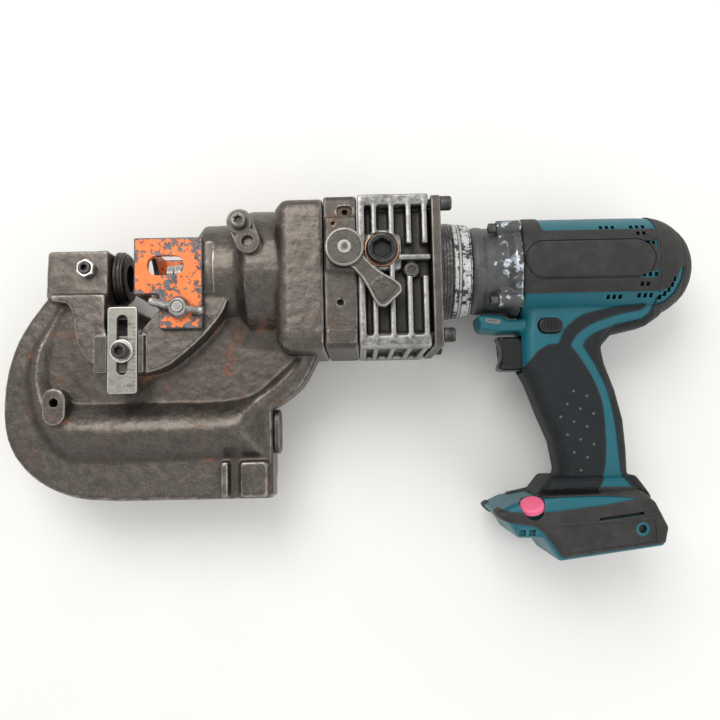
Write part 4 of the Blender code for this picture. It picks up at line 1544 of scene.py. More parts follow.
@dataclass
class Stripper:
    """Painted stripper plates with the wing bolt and the far hexagon bolt."""

    inner: float = 31.0
    outer: float = 35.0
    wing_at: Point2 = (-115.5, -26.6)
    cheek: Outline = ((-145, -17.3), (-145, 19.7), (-100.7, 19.7), (-100.7, -40),
                      (-128.7, -40), (-128.7, -17.3))

    def plates(self) -> None:
        """Fold the plates round the punch and cut the windows."""
        outline = fillet(self.cheek, [1.0, 1.2, 1.2, 1.5, 1.5, 1.2], 4)
        front = block((-145, -17.3, -33.4), (-141, 19.7, 33.4), 0.5, 0.3)
        body = prism(outline, self.inner, self.outer, 0.45)
        machine(body, front, prism(outline, -self.outer, -self.inner, 0.45),
                operation="UNION")
        machine(body, turned([(-150, 15.6), (-145, 15.6), (-143.8, 14.6),
                              (-135, 14.6)], radius=0, count=56),
                prism(slot_outline((-130.3, 1.5), (-118.8, 1.5), 6.5), -50, 50, 0),
                prism(slot_outline((-121.2, self.wing_at[1]), self.wing_at, 3.6), -50,
                      50, 0))
        dress(body, "stripper_plates", "stripper", ORANGE, ["stripper"])

    def wing_bolt(self) -> None:
        """Cast wings on a turned hub with a stub of thread."""
        at = (*self.wing_at, 0)
        hub = turned([(35.3, 7.5), (38, 7.4), (41.2, 5.8), (42, 5.0)], Z_AXIS, at, 48, 0.5)
        parts = [hub]
        for side in (0.0, math.pi):
            heading = Vector((math.cos(side - 0.2), math.sin(side - 0.2)))
            across = Vector((-heading.y, heading.x))
            base = Vector(self.wing_at)
            rings = []
            for reach, low, high, half in ((2, 35.8, 41.0, 3.4), (7, 36.0, 42.0, 2.6),
                                           (11, 36.6, 44.2, 2.7), (15, 37.6, 46.6, 3.0),
                                           (17.0, 39.6, 46.6, 2.7), (18, 42, 45, 1.6)):
                p = base + heading * reach
                ring = []
                for k in range(12):
                    turn = math.tau * k / 12
                    off = p + across * half * math.cos(turn)
                    level = (low + high) / 2 + (high - low) / 2 * math.sin(turn)
                    ring.append((off.x, off.y, level))
                rings.append(ring)
            parts.append(loft(rings))
        wing = melt(parts, 0.45, 3)
        pit(wing, 2.0, 0.10)
        machine(wing, turned([(40.9, 3.2), (40.9, 4.6), (44, 4.6), (44, 3.2)], Z_AXIS, at,
                             40, 0, tube=True))
        stem = turned([(12, 3), (35.6, 3)], Z_AXIS, at, 32, 0.3)
        machine(wing, stem, operation="UNION")
        dress(wing, "wing_bolt_casting", "wing_bolt", ZINC, ["wing_bolt"])

    def far_bolt(self) -> None:
        """Hexagon bolt on the far plate."""
        head = prism(circle(self.wing_at, 7.5, 6), -41, -36.6, 0.4)
        flange = turned([(-36.8, 7.9), (-35.3, 7.9)], Z_AXIS,
                        (*self.wing_at, 0), 48, 0.3)
        stem = turned([(-36, 3), (-12, 3)], Z_AXIS,
                      (*self.wing_at, 0), 32, 0.3)
        machine(head, flange, stem, operation="UNION")
        dress(head, "far_hex_bolt", "stripper", BRIGHT,
              ["stripper_far_bolt"])

    def build(self) -> None:
        """Make the plates and both bolts."""
        self.plates()
        self.wing_bolt()
        self.far_bolt()


@dataclass
class ThroatGauge:
    """Throat-depth gauge: saddle, slotted rule, stop block and clamp screw."""

    rule_at: Point2 = (-152.5, -53.0)
    rule_half: Point2 = (9.5, 28.0)
    screw_at: Point2 = (-152.5, -53.8)
    first_tick: float = -76.0
    tick_pitch: float = 2.5
    tick_count: int = 17

    def saddle(self) -> None:
        """Machined saddle with an index line on its shoulder."""
        body = block((-171, -67.5, 27), (-139, -43.5, 31), 1.0, 0.4)
        machine(body, block((-171, -67.5, 29), (-162.6, -43.5, 33.6), 1.0, 0.4),
                block((-142.6, -67.5, 29), (-139, -43.5, 33.6), 1.0, 0.4),
                operation="UNION")
        machine(body, bar((*self.screw_at, 0), Z_AXIS, 20, 40, 3.4),
                cutter((-142.9, -56.0, 33.35), (-138.0, -55.6, 35)))
        dress(body, "rule_saddle", "frame", HEAD_STEEL, ["gauge_saddle"])

    def rule(self) -> None:
        """Slotted rule with its stop block."""
        x, y = self.rule_at
        plate = prism(plate_outline(self.rule_at, self.rule_half, 2.4), 31.3, 34.3, 0.35)
        machine(plate, prism(slot_outline((x, -65.4), (x, -33.6), 3.6), 20, 40, 0))
        dress(plate, "rule_plate", "gauge", RULE_STEEL, ["gauge_plate"])
        nose = prism(fillet(((x - 9.5, -33), (x + 9.5, -33), (x + 9.5, -28.6),
                             (x + 6, -25.6), (x - 6, -25.6), (x - 9.5, -28.6)), 1.0, 3),
                     -20, 31, 0.5)
        dress(nose, "stop_block", "gauge", OXIDE, ["gauge_nose"])

    def ticks(self) -> None:
        """Scale lines and numbers along the rule's edge."""
        edge = self.rule_at[0] + self.rule_half[0] - 0.5
        marks = []
        for k in range(self.tick_count):
            y = self.first_tick + k * self.tick_pitch
            length = 3.6 if k % 4 == 0 else 2.2
            marks.append(cutter((edge - length, y - 0.13, 34.24),
                                (edge, y + 0.13, 34.36)))
        dress(gather(marks), "rule_lines", "gauge", DECAL)
        for k in range(0, self.tick_count, 4):
            curve = bpy.data.curves.new("number", "FONT")
            curve.body, curve.size, curve.extrude = str(k // 4), 3.4, 0.05
            curve.align_x, curve.align_y = "CENTER", "CENTER"
            text = placed("number", curve)
            text.rotation_euler = (0, 0, math.radians(-90))
            text.location = (edge - 4.6, self.first_tick + k * self.tick_pitch, 34.32)
            bpy.context.view_layer.update()
            graph = bpy.context.evaluated_depsgraph_get()
            mesh = bpy.data.meshes.new_from_object(text.evaluated_get(graph))
            mesh.transform(text.matrix_world)
            number = placed("number", mesh)
            bpy.data.objects.remove(text)
            dress(number, f"rule_number_{k // 4}", "gauge", DECAL)

    def clamp(self) -> None:
        """Washer and cap screw."""
        at = (*self.screw_at, 0)
        washer = turned([(34.6, 3.4), (34.6, 7.5), (36, 7.5), (36, 3.4)], Z_AXIS, at, 48,
                        0.3, tube=True)
        dress(washer, "clamp_washer", "frame", BRIGHT, ["gauge_washer"])
        screw = cap_screw(at, Z_AXIS, 36.3, 42.0, 5.2, 13)
        machine(screw, ring_of_bars(at, Z_AXIS, 5.45, 37, 41.0, 0.42, 20))
        dress(screw, "clamp_cap_screw", "frame", OXIDE,
              ["gauge_clamp_screw"])

    def build(self) -> None:
        """Make the whole gauge."""
        self.saddle()
        self.rule()
        self.ticks()
        self.clamp()


@dataclass
class HangerLink:
    """Figure-eight hanger link on the barrel and its screw."""

    screw_at: Point2 = (-74.8, 26.1)
    eye_at: Point2 = (-69.7, 13.4)

    def build(self) -> None:
        """Melt two eyes together, then bore them."""
        link = melt([
            prism(circle(self.screw_at, 8.1, 48), 44.1, 47.6, 0.5),
            prism(circle(self.eye_at, 7.9, 48), 44.1, 47.6, 0.5),
            prism(slot_outline(self.screw_at, self.eye_at, 5.2), 44.1, 47.4, 0.5),
        ], 0.4, 3)
        machine(link, bar((*self.screw_at, 0), Z_AXIS, 35, 50, 3.5),
                bar((*self.eye_at, 0), Z_AXIS, 43, 50, 3.4),
                turned([(46.9, 3.4), (49, 5.2)], Z_AXIS,
                       (*self.eye_at, 0), 40, 0))
        dress(link, "hanger_eye_link", "frame", HEAD_STEEL, ["hanger_link"])
        dress(cap_screw((*self.screw_at, 0), Z_AXIS, 47.9, 52.2, 5.2, 26),
              "hanger_cap_screw", "frame", HEAD_STEEL, ["hanger_link_screw"])


@dataclass
class StackPart:
    """Part of the hydraulic stack, whose sections across X share one size."""

    top: float = 42.3
    bottom: float = -56.5
    half: float = 48.0

    def section(self, less: float = 0.0, thin: float = 0.0, corner: float = 5.0,
                steps: int = 6) -> list[Point2]:
        """Rounded section of the stack.

        Args:
            less: Taken off its height at the top and at the bottom.
            thin: Taken off its thickness on each side.
            corner: Radius of its corners.
            steps: Segments in each corner.

        Returns:
            Points as Y and Z.
        """
        middle = ((self.top + self.bottom) / 2, 0.0)
        tall = (self.top - self.bottom) / 2
        return plate_outline(middle, (tall - less, self.half - thin), corner, steps)


@dataclass
class ValveBlock(StackPart):
    """Valve block with its release lever."""

    lever_at: Point2 = (-8.3, 6.2)
    lever_turn: float = math.radians(-48.0)
    flecks: tuple[tuple[float, float, float], ...] = (
        (-15.6, 3.0, 57.6), (-14.3, 4.2, 57.6), (-13.8, 2.2, 57.6), (-12.4, 1.4, 57.6),
        (-10.6, 0.8, 57.6), (-4.9, 2.6, 57.6), (-3.3, 3.2, 57.6), (-2.2, 2.2, 57.6),
        (10.4, -15.2, 56.28), (12.0, -16.4, 56.28), (13.4, -15.8, 56.28),
        (14.8, -17.4, 56.28), (16.2, -16.8, 56.28), (17.0, -18.6, 56.28))

    def body(self) -> None:
        """Cast block with a recess, a raised plate and a worn lower face."""
        cast = melt([
            prism(self.section(0, 1.4, 6), -21.7, -0.3, 1.6, "yz"),
            prism(fillet(((-20.2, 27.4), (-1.2, 27.4), (-1.2, -7), (-20.2, -7)), 2.0),
                  -47.6, 47.8, 0.8),
            prism(fillet(((-20.8, -43.5), (-1.0, -43.5), (-1.0, -53), (-20.8, -53)),
                         1.5), -47.2, 47.4, 0.8),
        ], 0.8, 2)
        pit(cast, 4.0, 0.22)
        machine(cast, bar((*self.lever_at, 0), Z_AXIS, 8, 60, 5.0),
                bar((0, self.lever_at[1], 8), X_AXIS, -30, 10, 4.0),
                prism(slot_outline((-9.6, 31.3), (-6.4, 31.3), 3.6), 44.6, 60, 0),
                bar((-7.9, 31.2, 0), Z_AXIS, 38, 60, 1.9),
                bar((-11.5, -27.1, 0), Z_AXIS, 40, 60, 2.1),
                bar((-15.4, 23.4, 0), Z_AXIS, 45, 60, 1.4))
        dress(cast, "valve_block_casting", "frame", HEAD_STEEL,
              ["valve_block"])

    def lever(self) -> None:
        """Release lever: stepped disc and a spatulate arm."""
        at = (*self.lever_at, 0)
        disc = turned([(48.6, 12.3), (56.7, 12.3), (57.6, 11.4)],
                      Z_AXIS, at, 72, 0.4)
        heading = Vector((math.cos(self.lever_turn), math.sin(self.lever_turn)))
        across = Vector((-heading.y, heading.x))
        widths = ((6, 7.4), (13, 5.2), (21, 5.2), (29, 6.8), (35, 8.8), (41, 9.9),
                  (45, 7.4))
        start = Vector(self.lever_at)
        left = [tuple(start + heading * s + across * w) for s, w in widths]
        right = [tuple(start + heading * s - across * w) for s, w in widths]
        arm = prism(fillet(right + left[::-1], 4.0, 5), 49.5, 56, 0.9)
        pad = prism(fillet([tuple(start + heading * s + across * w) for s, w in (
            (28, -4.6), (41, -7.0), (41, 7.0), (28, 4.6))], 2.5, 4), 52, 56.3, 0.4)
        body = melt([disc, arm, pad], 0.5, 2)
        pit(body, 3.0, 0.12)
        hub = turned([(56.8, 4.3), (57.7, 4.3), (57.95, 4.0)],
                     Z_AXIS, at, 48, 0.1)
        body = gather([body, hub])
        dress(body, "release_lever_forging", "release_lever", LEVER_STEEL,
              ["release_lever"])
        flecks = []
        for k, (x, y, top) in enumerate(self.flecks):
            ragged = [(x + (0.9 + 0.5 * math.sin(2.3 * i + k)) * math.cos(0.9 * i),
                       y + (0.5 + 0.3 * math.cos(1.7 * i + k)) * math.sin(0.9 * i))
                      for i in range(7)]
            flecks.append(prism(ragged, top - 0.4, top + 0.06, 0))
        dress(gather(flecks), "lever_paint_traces", "release_lever", LEVER_PAINT)

    def build(self) -> None:
        """Make the block and the lever."""
        self.body()
        self.lever()


@dataclass
class PumpCase(StackPart):
    """Finned pump case with its oil plug."""

    plug_at: Point2 = (15.2, 6.2)
    fins: tuple[float, ...] = (10.5, 21.5, 32.5, 42.5)
    fin_thick: float = 3.6

    def casting(self) -> None:
        """Core, fins, rails and bosses melted into one casting."""
        parts = [prism(self.section(4.6, 10, 8, 5), 0, 46.5, 0.5, "yz"),
                 prism(self.section(), 0, 4.5, 0.6, "yz")]
        for x in self.fins:
            parts.append(prism(self.section(), x - self.fin_thick / 2,
                               x + self.fin_thick / 2, 1.1, "yz", 0.2))
        for side in (-1, 1):
            pad, rail = flank(side, 36, 46.4), flank(side, 36, 47.6)
            parts += [
                prism(plate_outline((15, 4.5), (13, 12), 4), *pad, 1.5),
                prism(plate_outline((23, 38.4), (22.5, 3.8), 1.5), *rail, 1.2),
                prism(plate_outline((23, -52.2), (22.5, 4.2), 1.5), *rail, 1.2)]
        parts.append(turned([(40, 13.6), (46.3, 13.2)], Z_AXIS,
                            (*self.plug_at, 0), 64, 0.8))
        case = melt(parts, 0.72, 2)
        machine(case, prism(plate_outline((39.2, -0.6), (11.8, 10.4), 2.5), 38.5, 60, 0))
        rib = prism(plate_outline((35.8, 1.0), (10.2, 1.8), 1.0), 36, 47.8, 0.7)
        boss = turned([(30, 5.6), (44.0, 5.4), (44.8, 4.6)], Z_AXIS,
                      (34, -6.6, 0), 48, 0.6)
        case = melt([case, rib, boss], 0.72, 1)
        pit(case, 3.5, 0.20)
        cuts = [
            bar((0, 0, 0), X_AXIS, 3, 50, 25.0, 56),
            turned([(15, 7.4), (46, 7.4), (46, 11.4), (60, 12.2)],
                   Z_AXIS, (*self.plug_at, 0), 56, 0),
            bar((20, 0, 0), (0, 1, 0), 20, 33.6, 5.2),
            bar((34, -6.6, 0), Z_AXIS, 43.6, 60, 2.6),
        ]
        for y in (36.5, -48.5):
            for side in (-1, 1):
                z = side * 42.0
                cuts.append(cutter((12, y - 3.1, z - 3.1), (50, y + 3.1, z + 3.1)))
        machine(case, *cuts)
        # proud lightens the fin faces and darkens the gaps between fins with dirt and
        # painted shade.
        dress(case, "finned_pump_casting", "frame", FIN_ALLOY, ["pump_case"],
              proud=(-7.1, 48.0))

    def plug(self) -> None:
        """Copper washer and socket plug with a knurled head."""
        at = (*self.plug_at, 0)
        washer = turned([(46.3, 7.4), (46.3, 11), (47.6, 11), (47.6, 7.4)], Z_AXIS, at,
                        56, 0.3, tube=True)
        dress(washer, "plug_seal_ring", "frame", COPPER,
              ["oil_plug_washer"])
        plug = turned([(30, 6.9), (47.9, 6.9), (47.9, 10), (51.6, 10),
                       (52.6, 8.6)], Z_AXIS, at, 64, 0.4)
        machine(plug, turned([(47.4, 6.0), (51.8, 6.0), (52.7, 6.9),
                              (54, 6.9)], Z_AXIS, at, 6, 0))
        machine(plug, ring_of_bars(at, Z_AXIS, 10.3, 48.4, 51.2, 0.5, 32))
        dress(plug, "oil_filler_plug", "frame", OXIDE, ["oil_plug"])

    def build(self) -> None:
        """Make the case and the plug."""
        self.casting()
        self.plug()


@dataclass
class DriveCase(StackPart):
    """Adapter plate, ringed collar, lock ring and gear case."""

    bolt_y: tuple[float, float] = (36.5, -48.5)
    bolt_z: float = 42.0
    ear: float = 24.0

    def ears(self) -> list[Point2]:
        """Where the gear case's four screws stand, as Y and Z."""
        return [(y, z) for y in (self.ear, -self.ear) for z in (self.ear, -self.ear)]

    def adapter(self) -> None:
        """Adapter plate and its four cap screws."""
        plate = prism(self.section(0.6, 0, 6, 7), 47, 53, 0.8, "yz")
        cuts = [bar((0, 0, 0), X_AXIS, 40, 60, 14.0, 48)]
        holes = [(0, y, side * self.bolt_z) for y in self.bolt_y for side in (1, -1)]
        for number, at in enumerate(holes, 1):
            cuts.append(bar(at, X_AXIS, 40, 60, 3.3, 24))
            dress(cap_screw(at, X_AXIS, 53.3, 60.5, 4.7, 13),
                  f"plate_cap_screw_{number}", "frame", OXIDE,
                  [f"adapter_bolt_{number}"])
        machine(plate, *cuts)
        dress(plate, "drive_adapter_plate", "frame", HEAD_STEEL,
              ["adapter_plate"])

    def rings(self) -> None:
        """Collar with turned rings and the notched lock ring."""
        loop: list[Point2] = [(53.3, 20), (53.3, 32.6)]
        for k in range(4):
            x = 54.2 + 2.0 * k
            loop += [(x, 33.0), (x + 1.4, 33.0), (x + 1.55, 32.7), (x + 1.85, 32.7)]
        loop += [(62.0, 32.6), (62.0, 20)]
        dress(turned(loop, count=96, radius=0.2, tube=True), "ringed_collar", "frame",
              COLLAR_PAINT, ["bearing_collar"])
        loop = [(62.3, 27), (62.3, 32.2), (63.0, 32.6), (66.0, 32.6), (66.6, 32.0),
                (67.4, 32.0), (68, 32.4), (73.8, 31.5), (75, 30.6), (75, 27)]
        ring = turned(loop, count=96, radius=0.25, tube=True)
        machine(ring, ring_of_bars((0, 0, 0), X_AXIS, 33.6, 70.6, 77, 2.3, 12, 20, 0.4))
        dress(ring, "notched_lock_ring", "frame", RING_PAINT, ["lock_ring"])

    def gear_case(self) -> None:
        """Gear case with its screw ears and screws."""
        shell = turned([(75.3, 28.4), (78.5, 30), (83, 30.0), (84, 29.2),
                        (99, 29.6), (103.4, 33.2), (108, 33.5)], radius=0.8)
        parts = [shell]
        for y, z in self.ears():
            parts.append(turned([(89, 0), (92, 4.9), (107.9, 5.2)], X_AXIS,
                                (0, y, z), 36, 0.5))
            web = [(y * 0.55, z * 0.98), (y * 0.98, z * 0.55), (y * 1.17, z * 0.9),
                   (y * 0.9, z * 1.17)]
            parts.append(prism(fillet(web, 2.0), 93, 107.9, 0.5, "yz"))
        case = melt(parts, 0.6, 2)
        pit(case, 3.0, 0.12)
        cuts = [turned([(78.2, 26.6), (110, 26.6)], radius=0,
                       count=64), bar((0, 0, 0), X_AXIS, 70, 80, 10.5, 40)]
        for y, z in self.ears():
            cuts.append(bar((0, y, z), X_AXIS, 85, 107, 2.4, 20))
            cuts.append(bar((0, y, z), X_AXIS, 82, 91.8, 4.2, 28))
        machine(case, *cuts)
        dress(case, "gear_case_casting", "frame", GEAR_PAINT, ["gear_case"])
        for number, (y, z) in enumerate(self.ears(), 1):
            dress(cap_screw((0, y, z), (-1, 0, 0), -91.7, -86.5, 3.4, -106),
                  f"case_cap_screw_{number}", "frame", OXIDE,
                  [f"gear_case_screw_{number}"])

    def build(self) -> None:
        """Make the drive stack."""
        self.adapter()
        self.rings()
        self.gear_case()


@dataclass
class Handle:
    """Pistol handle: hollow shells, rubber overmoulds, trigger, buttons and foot."""

    skin: float = 0.8
    seam: float = 0.15
    cap_from: float = 196.8
    stud_start: Point2 = (124.0, -58.0)
    stud_step: Point2 = (8.5, -3.3)
    stud_row: Point2 = (-4.6, -8.4)
    stud_area: Outline = (
        (131, -86), (149, -80), (154.5, -97), (155, -122), (152, -138), (138, -138),
        (135, -118), (127, -97))
    vent_rows: tuple[tuple[float, float, int], ...] = (
        (159.6, 22.6, 3), (179.6, 22.6, 3), (182.4, 17.2, 2), (183.6, 10.4, 3),
        (184.4, -10.4, 3), (183.4, -16.4, 2), (162.8, -23.6, 3), (183.0, -23.0, 3))
    outer: Optional[Object] = None
    button_at: Point2 = (126.8, -40.8)
    foot_button_at: tuple[float, float, float] = (106.5, -156.4, 33.2)
    foot_button_axis: tuple[float, float, float] = (-0.19, 0.81, 0.55)
    grip: Outline = (
        (109, -12), (198, -12), (205.5, -33), (193, -41.5), (170, -46.5), (162, -55),
        (164, -66.5), (170, -84), (174.5, -104), (175.6, -124), (175.6, -153),
        (126, -153), (130, -136), (127, -118), (119.8, -100), (112.5, -79), (107.6, -70),
        (107.6, -46), (109, -38))
    foot: Outline = (
        (82, -161), (92, -170), (97, -178), (112.5, -178.5), (122.5, -193),
        (189.5, -184.5), (192.5, -172), (185, -156), (176, -149), (124, -149),
        (96, -154.5))
    foot_panel: Outline = (
        (76, -164), (85, -165.3), (97, -168.2), (107, -169.4), (112.5, -173),
        (124, -189.4), (190, -181.2), (198, -172), (190, -152), (176, -147),
        (124, -147), (96, -150), (76, -156))
    crescent: Outline = (
        (196, -29.5), (203, -27), (209, -21.5), (213, -13), (214.4, -5), (211.6, -5),
        (208.4, -12), (203, -18.4), (196, -21.8))
    foot_lens: Outline = (
        (85.5, -158.5), (95, -154.4), (110, -152.2), (150, -151.3), (176, -153.4),
        (150, -157.6), (118, -160.9), (98, -161.5))
    side_pad: Outline = (
        (108.2, -20.6), (196.3, -20.6), (196.3, 20.8), (121.5, 20.8), (120.5, 44),
        (108.2, 44))
    front_pad: Outline = (
        (90, -72.4), (103.3, -72.1), (110, -67.3), (116.7, -58.7), (124.5, -53.3),
        (132.3, -52.8), (136.3, -42.9), (147.4, -33.8), (169.4, -29.3), (191.3, -28.2),
        (188.7, -31.2), (169.9, -34.6), (153.4, -40.2), (143.6, -47.4), (139.6, -54.2),
        (145.2, -61.5), (154.7, -78.1), (159.7, -94.7), (160.2, -123.3), (158.0, -139.3),
        (150, -150.5), (100, -151.5), (95, -140))
    rear_pad: Outline = (
        (222, -22), (197.0, -22.5), (195.6, -31.0), (188.5, -38.0), (171, -41.0),
        (157, -45.6), (150.5, -50.0), (148.0, -54.5), (155.5, -67.5), (163, -84),
        (167, -106), (168, -123), (169.5, -141.8), (174.2, -147.7), (184, -153.4),
        (215, -153.4))

    def shape(self) -> Object:
        """Outer shape of the whole handle.

        Returns:
            One melted solid.
        """
        motor = turned([(108.3, 33.0), (109.6, 34.4), (113, 35), (150, 35.0),
                        (172, 35.0), (190, 34.9), (197, 34.5), (203, 33.2), (208, 31.3),
                        (212, 28.9), (215.3, 26.2)], radius=1.0, count=96)
        rings = ((18, 8.5), (17.2, 5.6), (15.2, 2.9), (12, 1.0), (8, 0.1))
        levels = [(-z, a) for z, a in rings] + [(z, a) for z, a in reversed(rings)]
        outline = fillet(self.grip, 5.0, 4)
        grip = loft([[(x, y, z) for x, y in inset(outline, a)] for z, a in levels])
        chin = ((77.5, -31), (80.5, -43), (95, -44.5), (114, -44.5), (114, -34.3),
                (99, -34.3), (97, -31))
        rim = ((37, 4.5), (36.2, 2.6), (34.6, 1.0), (31, 0))
        foot_levels = [(-z, a) for z, a in rim] + [(z, a) for z, a in reversed(rim)]
        base = fillet(self.foot, 2.5, 3)
        foot = loft([[(x, y, z) for x, y in inset(base, a)] for z, a in foot_levels])
        neck = prism(fillet(((122, -140), (178, -140), (190, -157), (108, -157)), 4.0),
                     -25, 25, 7.0)
        return melt([motor, grip, prism(fillet(chin, 4.0, 4), -14, 14, 4.0), foot, neck],
                    0.85, 4)

    def cavities(self) -> list[Object]:
        """Spaces for the motor, grip, foot, trigger and buttons.

        Returns:
            Their cutters.
        """
        at = self.button_at
        return [
            turned([(100, 31.5), (199, 31.0), (202, 26), (202, 9.3),
                    (211, 9.3)], radius=0, count=72),
            prism(inset(self.grip, 4.2), -14.4, 14.4, 0),
            prism(inset(self.foot, 4.6), -33.0, 33.0, 0),
            cutter((134, -160, -11), (168, -145, 11)),
            cutter((130, -205, -30), (192, -175, 30)),
            prism(((86, -71.2), (86, -45.8), (122, -45.8), (122, -71.2)), -9.8, 9.8, 0),
            prism(slot_outline((at[0] - 3, at[1]), (at[0] + 3, at[1]), 5.5), -50, 50, 0),
            bar(self.foot_button_at, self.foot_button_axis, -9, 9, 8.2),
        ]

    def vents(self, side: int) -> Object:
        """Cooling slots.

        Args:
            side: 1 for the near side, -1 for the far side.

        Returns:
            Their cutters in one object.
        """
        made = []
        for x, y, count in self.vent_rows:
            for k in range(count):
                left = x + k * 3.9
                made.append(cutter((left, y - 1.35, 6), (left + 2.5, y + 1.35, 50)))
        for k in range(5):
            turn = math.radians(-62 + 12.0 * k)
            x, y = 190.5 + 17.0 * math.cos(turn), -9.0 + 17.0 * math.sin(turn)
            made.append(cutter((x - 1.3, y - 1.5, 6), (x + 1.3, y + 1.5, 50)))
        slots = gather(made)
        if side < 0:
            slots.data.transform(Matrix.Scale(-1, 4, Vector((0, 0, 1))))
            slots.data.flip_normals()
        return slots

    def foot_cuts(self, side: int) -> list[Object]:
        """Slot, screw hole and latch pockets of the foot.

        Args:
            side: 1 for the near side, -1 for the far side.

        Returns:
            Their cutters.
        """
        low, high = flank(side, 33.5)
        deep = flank(side, 28.0)
        cuts = [
            prism(fillet(((147.6, -164.9), (176.0, -161.6), (176.0, -163.7),
                          (147.6, -167.0)), 1.0), *deep, 0),
            bar((174.8, -172.6, 0), Z_AXIS, *deep, 2.7),
        ]
        for x in (97.5, 103.6):
            cuts.append(cutter((x, -175.6, low), (x + 4.0, -171.6, high)))
        return cuts

    def shells(self) -> None:
        """Teal shells, one on each side of the seam."""
        core = swell(copy_of(self.outer), -self.skin)
        machine(core, *self.cavities(), self.vents(1), self.vents(-1),
                *self.foot_cuts(1), *self.foot_cuts(-1))
        for side, word in SIDES:
            low, high = flank(side, self.seam)
            half = machine(copy_of(core), cutter((60, -210, low), (240, 60, high)),
                           operation="INTERSECT")
            dress(half, f"housing_shell_{word}", "frame", TEAL,
                  [f"handle_shell_{word}"])
        bpy.data.objects.remove(core)

    def slit(self) -> Object:
        """Cutter that parts a pad along the seam of the shells."""
        return cutter((60, -210, -self.seam), (240, 60, self.seam))

    def end_space(self) -> Object:
        """Block that holds everything behind the motor's end cap line."""
        return cutter((self.cap_from, -60, -60), (240, 60, 60))

    def overmould(self, core: Object, region: Object, name: str, finish: Finish,
                  slot: Slot, *cuts: Object) -> None:
        """One pad: the outer skin inside a region, seated on the core.

        Args:
            core: Solid that the pad lies on.
            region: Block that holds the pad; it is used up.
            name: The pad's name.
            finish: Its finish.
            slot: Not used.
            cuts: Solids cut out of it.
        """
        pad = machine(copy_of(self.outer), region, operation="INTERSECT")
        machine(pad, copy_of(core), *cuts)
        dress(pad, name, "frame", finish)

    def pads(self) -> None:
        """All rubber and black panels of the handle."""
        core = swell(copy_of(self.outer), -self.skin - 0.25)
        at = self.button_at
        for side, word in SIDES:
            low, high = flank(side, 12.0)
            pad = prism(fillet(self.side_pad, 2.0, 4), low, high, 0)
            trims = [prism(fillet(trim, 0.6, 3), low, high, 0) for trim in (
                ((183.0, -12.6), (195.0, -12.6), (195.0, -6.4), (193.6, -6.4),
                 (193.6, -8.6), (183.0, -8.6)),
                ((191.8, 12.6), (195.0, 12.6), (195.0, 6.0), (193.6, 6.0),
                 (193.6, 10.2), (191.8, 10.2)))]
            groove = machine(
                prism(slot_outline((121.5, 0.4), (180.5, 0.4), 13.1, 20), low, high, 0),
                prism(slot_outline((121.5, 0.4), (180.5, 0.4), 12.0, 20), -60, 60, 0))
            machine(groove, swell(copy_of(self.outer), -0.65))
            self.overmould(core, pad, f"motor_side_pad_{word}", RUBBER,
                           Slot.RUBBER, self.vents(side), *trims, groove)
            low, high = flank(side, 20.0)
            panel = prism(flow(self.foot_panel, 1.5), low, high, 0)
            tray = machine(prism(((121, -169.5), (183, -166.5), (183, -180.6),
                                  (127.5, -187.2)), low, high, 0),
                           swell(copy_of(self.outer), -0.45))
            self.overmould(core, panel, f"foot_side_panel_{word}", RUBBER,
                           Slot.BLACK, *self.foot_cuts(side),
                           bar(self.foot_button_at, self.foot_button_axis, -9, 9, 8.6),
                           prism(flow(self.foot_lens, 1.0), low, high, 0), tray,
                           bar((174.8, -172.6, 0), Z_AXIS, low, high, 4.3))
        collar = machine(cutter((108.2, 18, -60), (120.5, 44, 60)),
                         cutter((100, 10, 12.2), (130, 20.8, 70)),
                         cutter((100, 10, -70), (130, 20.8, -12.2)))
        self.overmould(core, collar, "motor_front_pad", RUBBER, Slot.RUBBER,
                       cutter((100, 0, 12.1), (121, 50, 60)),
                       cutter((100, 0, -60), (121, 50, -12.1)),
                       cutter((100, 0, -self.seam), (125, 50, self.seam)))
        pocket = prism(((86, -71.6), (86, -45.8), (124, -45.8), (124, -71.6)), -10.2,
                       10.2, 0)
        button = prism(slot_outline((at[0] - 3, at[1]), (at[0] + 3, at[1]), 6.2), -50,
                       50, 0)
        front = prism(flow(self.front_pad, 1.5), -40, 40, 0)
        self.overmould(core, front, "grip_front_pad", GRIP_RUBBER, Slot.RUBBER,
                       self.slit(), pocket, button)
        rear = prism(flow(self.rear_pad, 1.5), -40, 40, 0)
        self.overmould(core, rear, "grip_rear_pad", GRIP_RUBBER, Slot.RUBBER,
                       self.slit(), self.end_space())
        self.grip_studs()
        crescents = [prism(fillet(self.crescent, 0.8, 3), *flank(side, 11.0), 0)
                     for side, _ in SIDES]
        self.overmould(core, self.end_space(), "motor_end_cap", RUBBER, Slot.RUBBER,
                       self.vents(1), self.vents(-1), *crescents,
                       cutter((214.9, -60, -60), (240, 60, 60)))
        bpy.data.objects.remove(core)

    def grip_studs(self) -> None:
        """Rows of low studs on both cheeks of the front grip pad."""
        bm = bmesh.new()
        bm.from_mesh(self.outer.data)
        tree = BVHTree.FromBMesh(bm)
        bm.free()
        studs = []
        for row in range(-3, 14):
            for column in range(-2, 10):
                x, y = (start + column * step + row * drop for start, step, drop in
                        zip(self.stud_start, self.stud_step, self.stud_row))
                if depth_inside(np.array([[x, y]]), self.stud_area)[0] <= 0:
                    continue
                for side in (1, -1):
                    hit = tree.ray_cast(Vector((x, y, 60 * side)), Vector((0, 0, -side)))
                    if hit[0] is None:
                        continue
                    studs.append(turned([(-0.4, 1.05), (0.12, 0.95),
                                         (0.42, 0.6), (0.5, 0)], hit[1], hit[0], 14, 0))
        dress(gather(studs), "grip_studs", "frame", STUD_RUBBER, sharp=60)

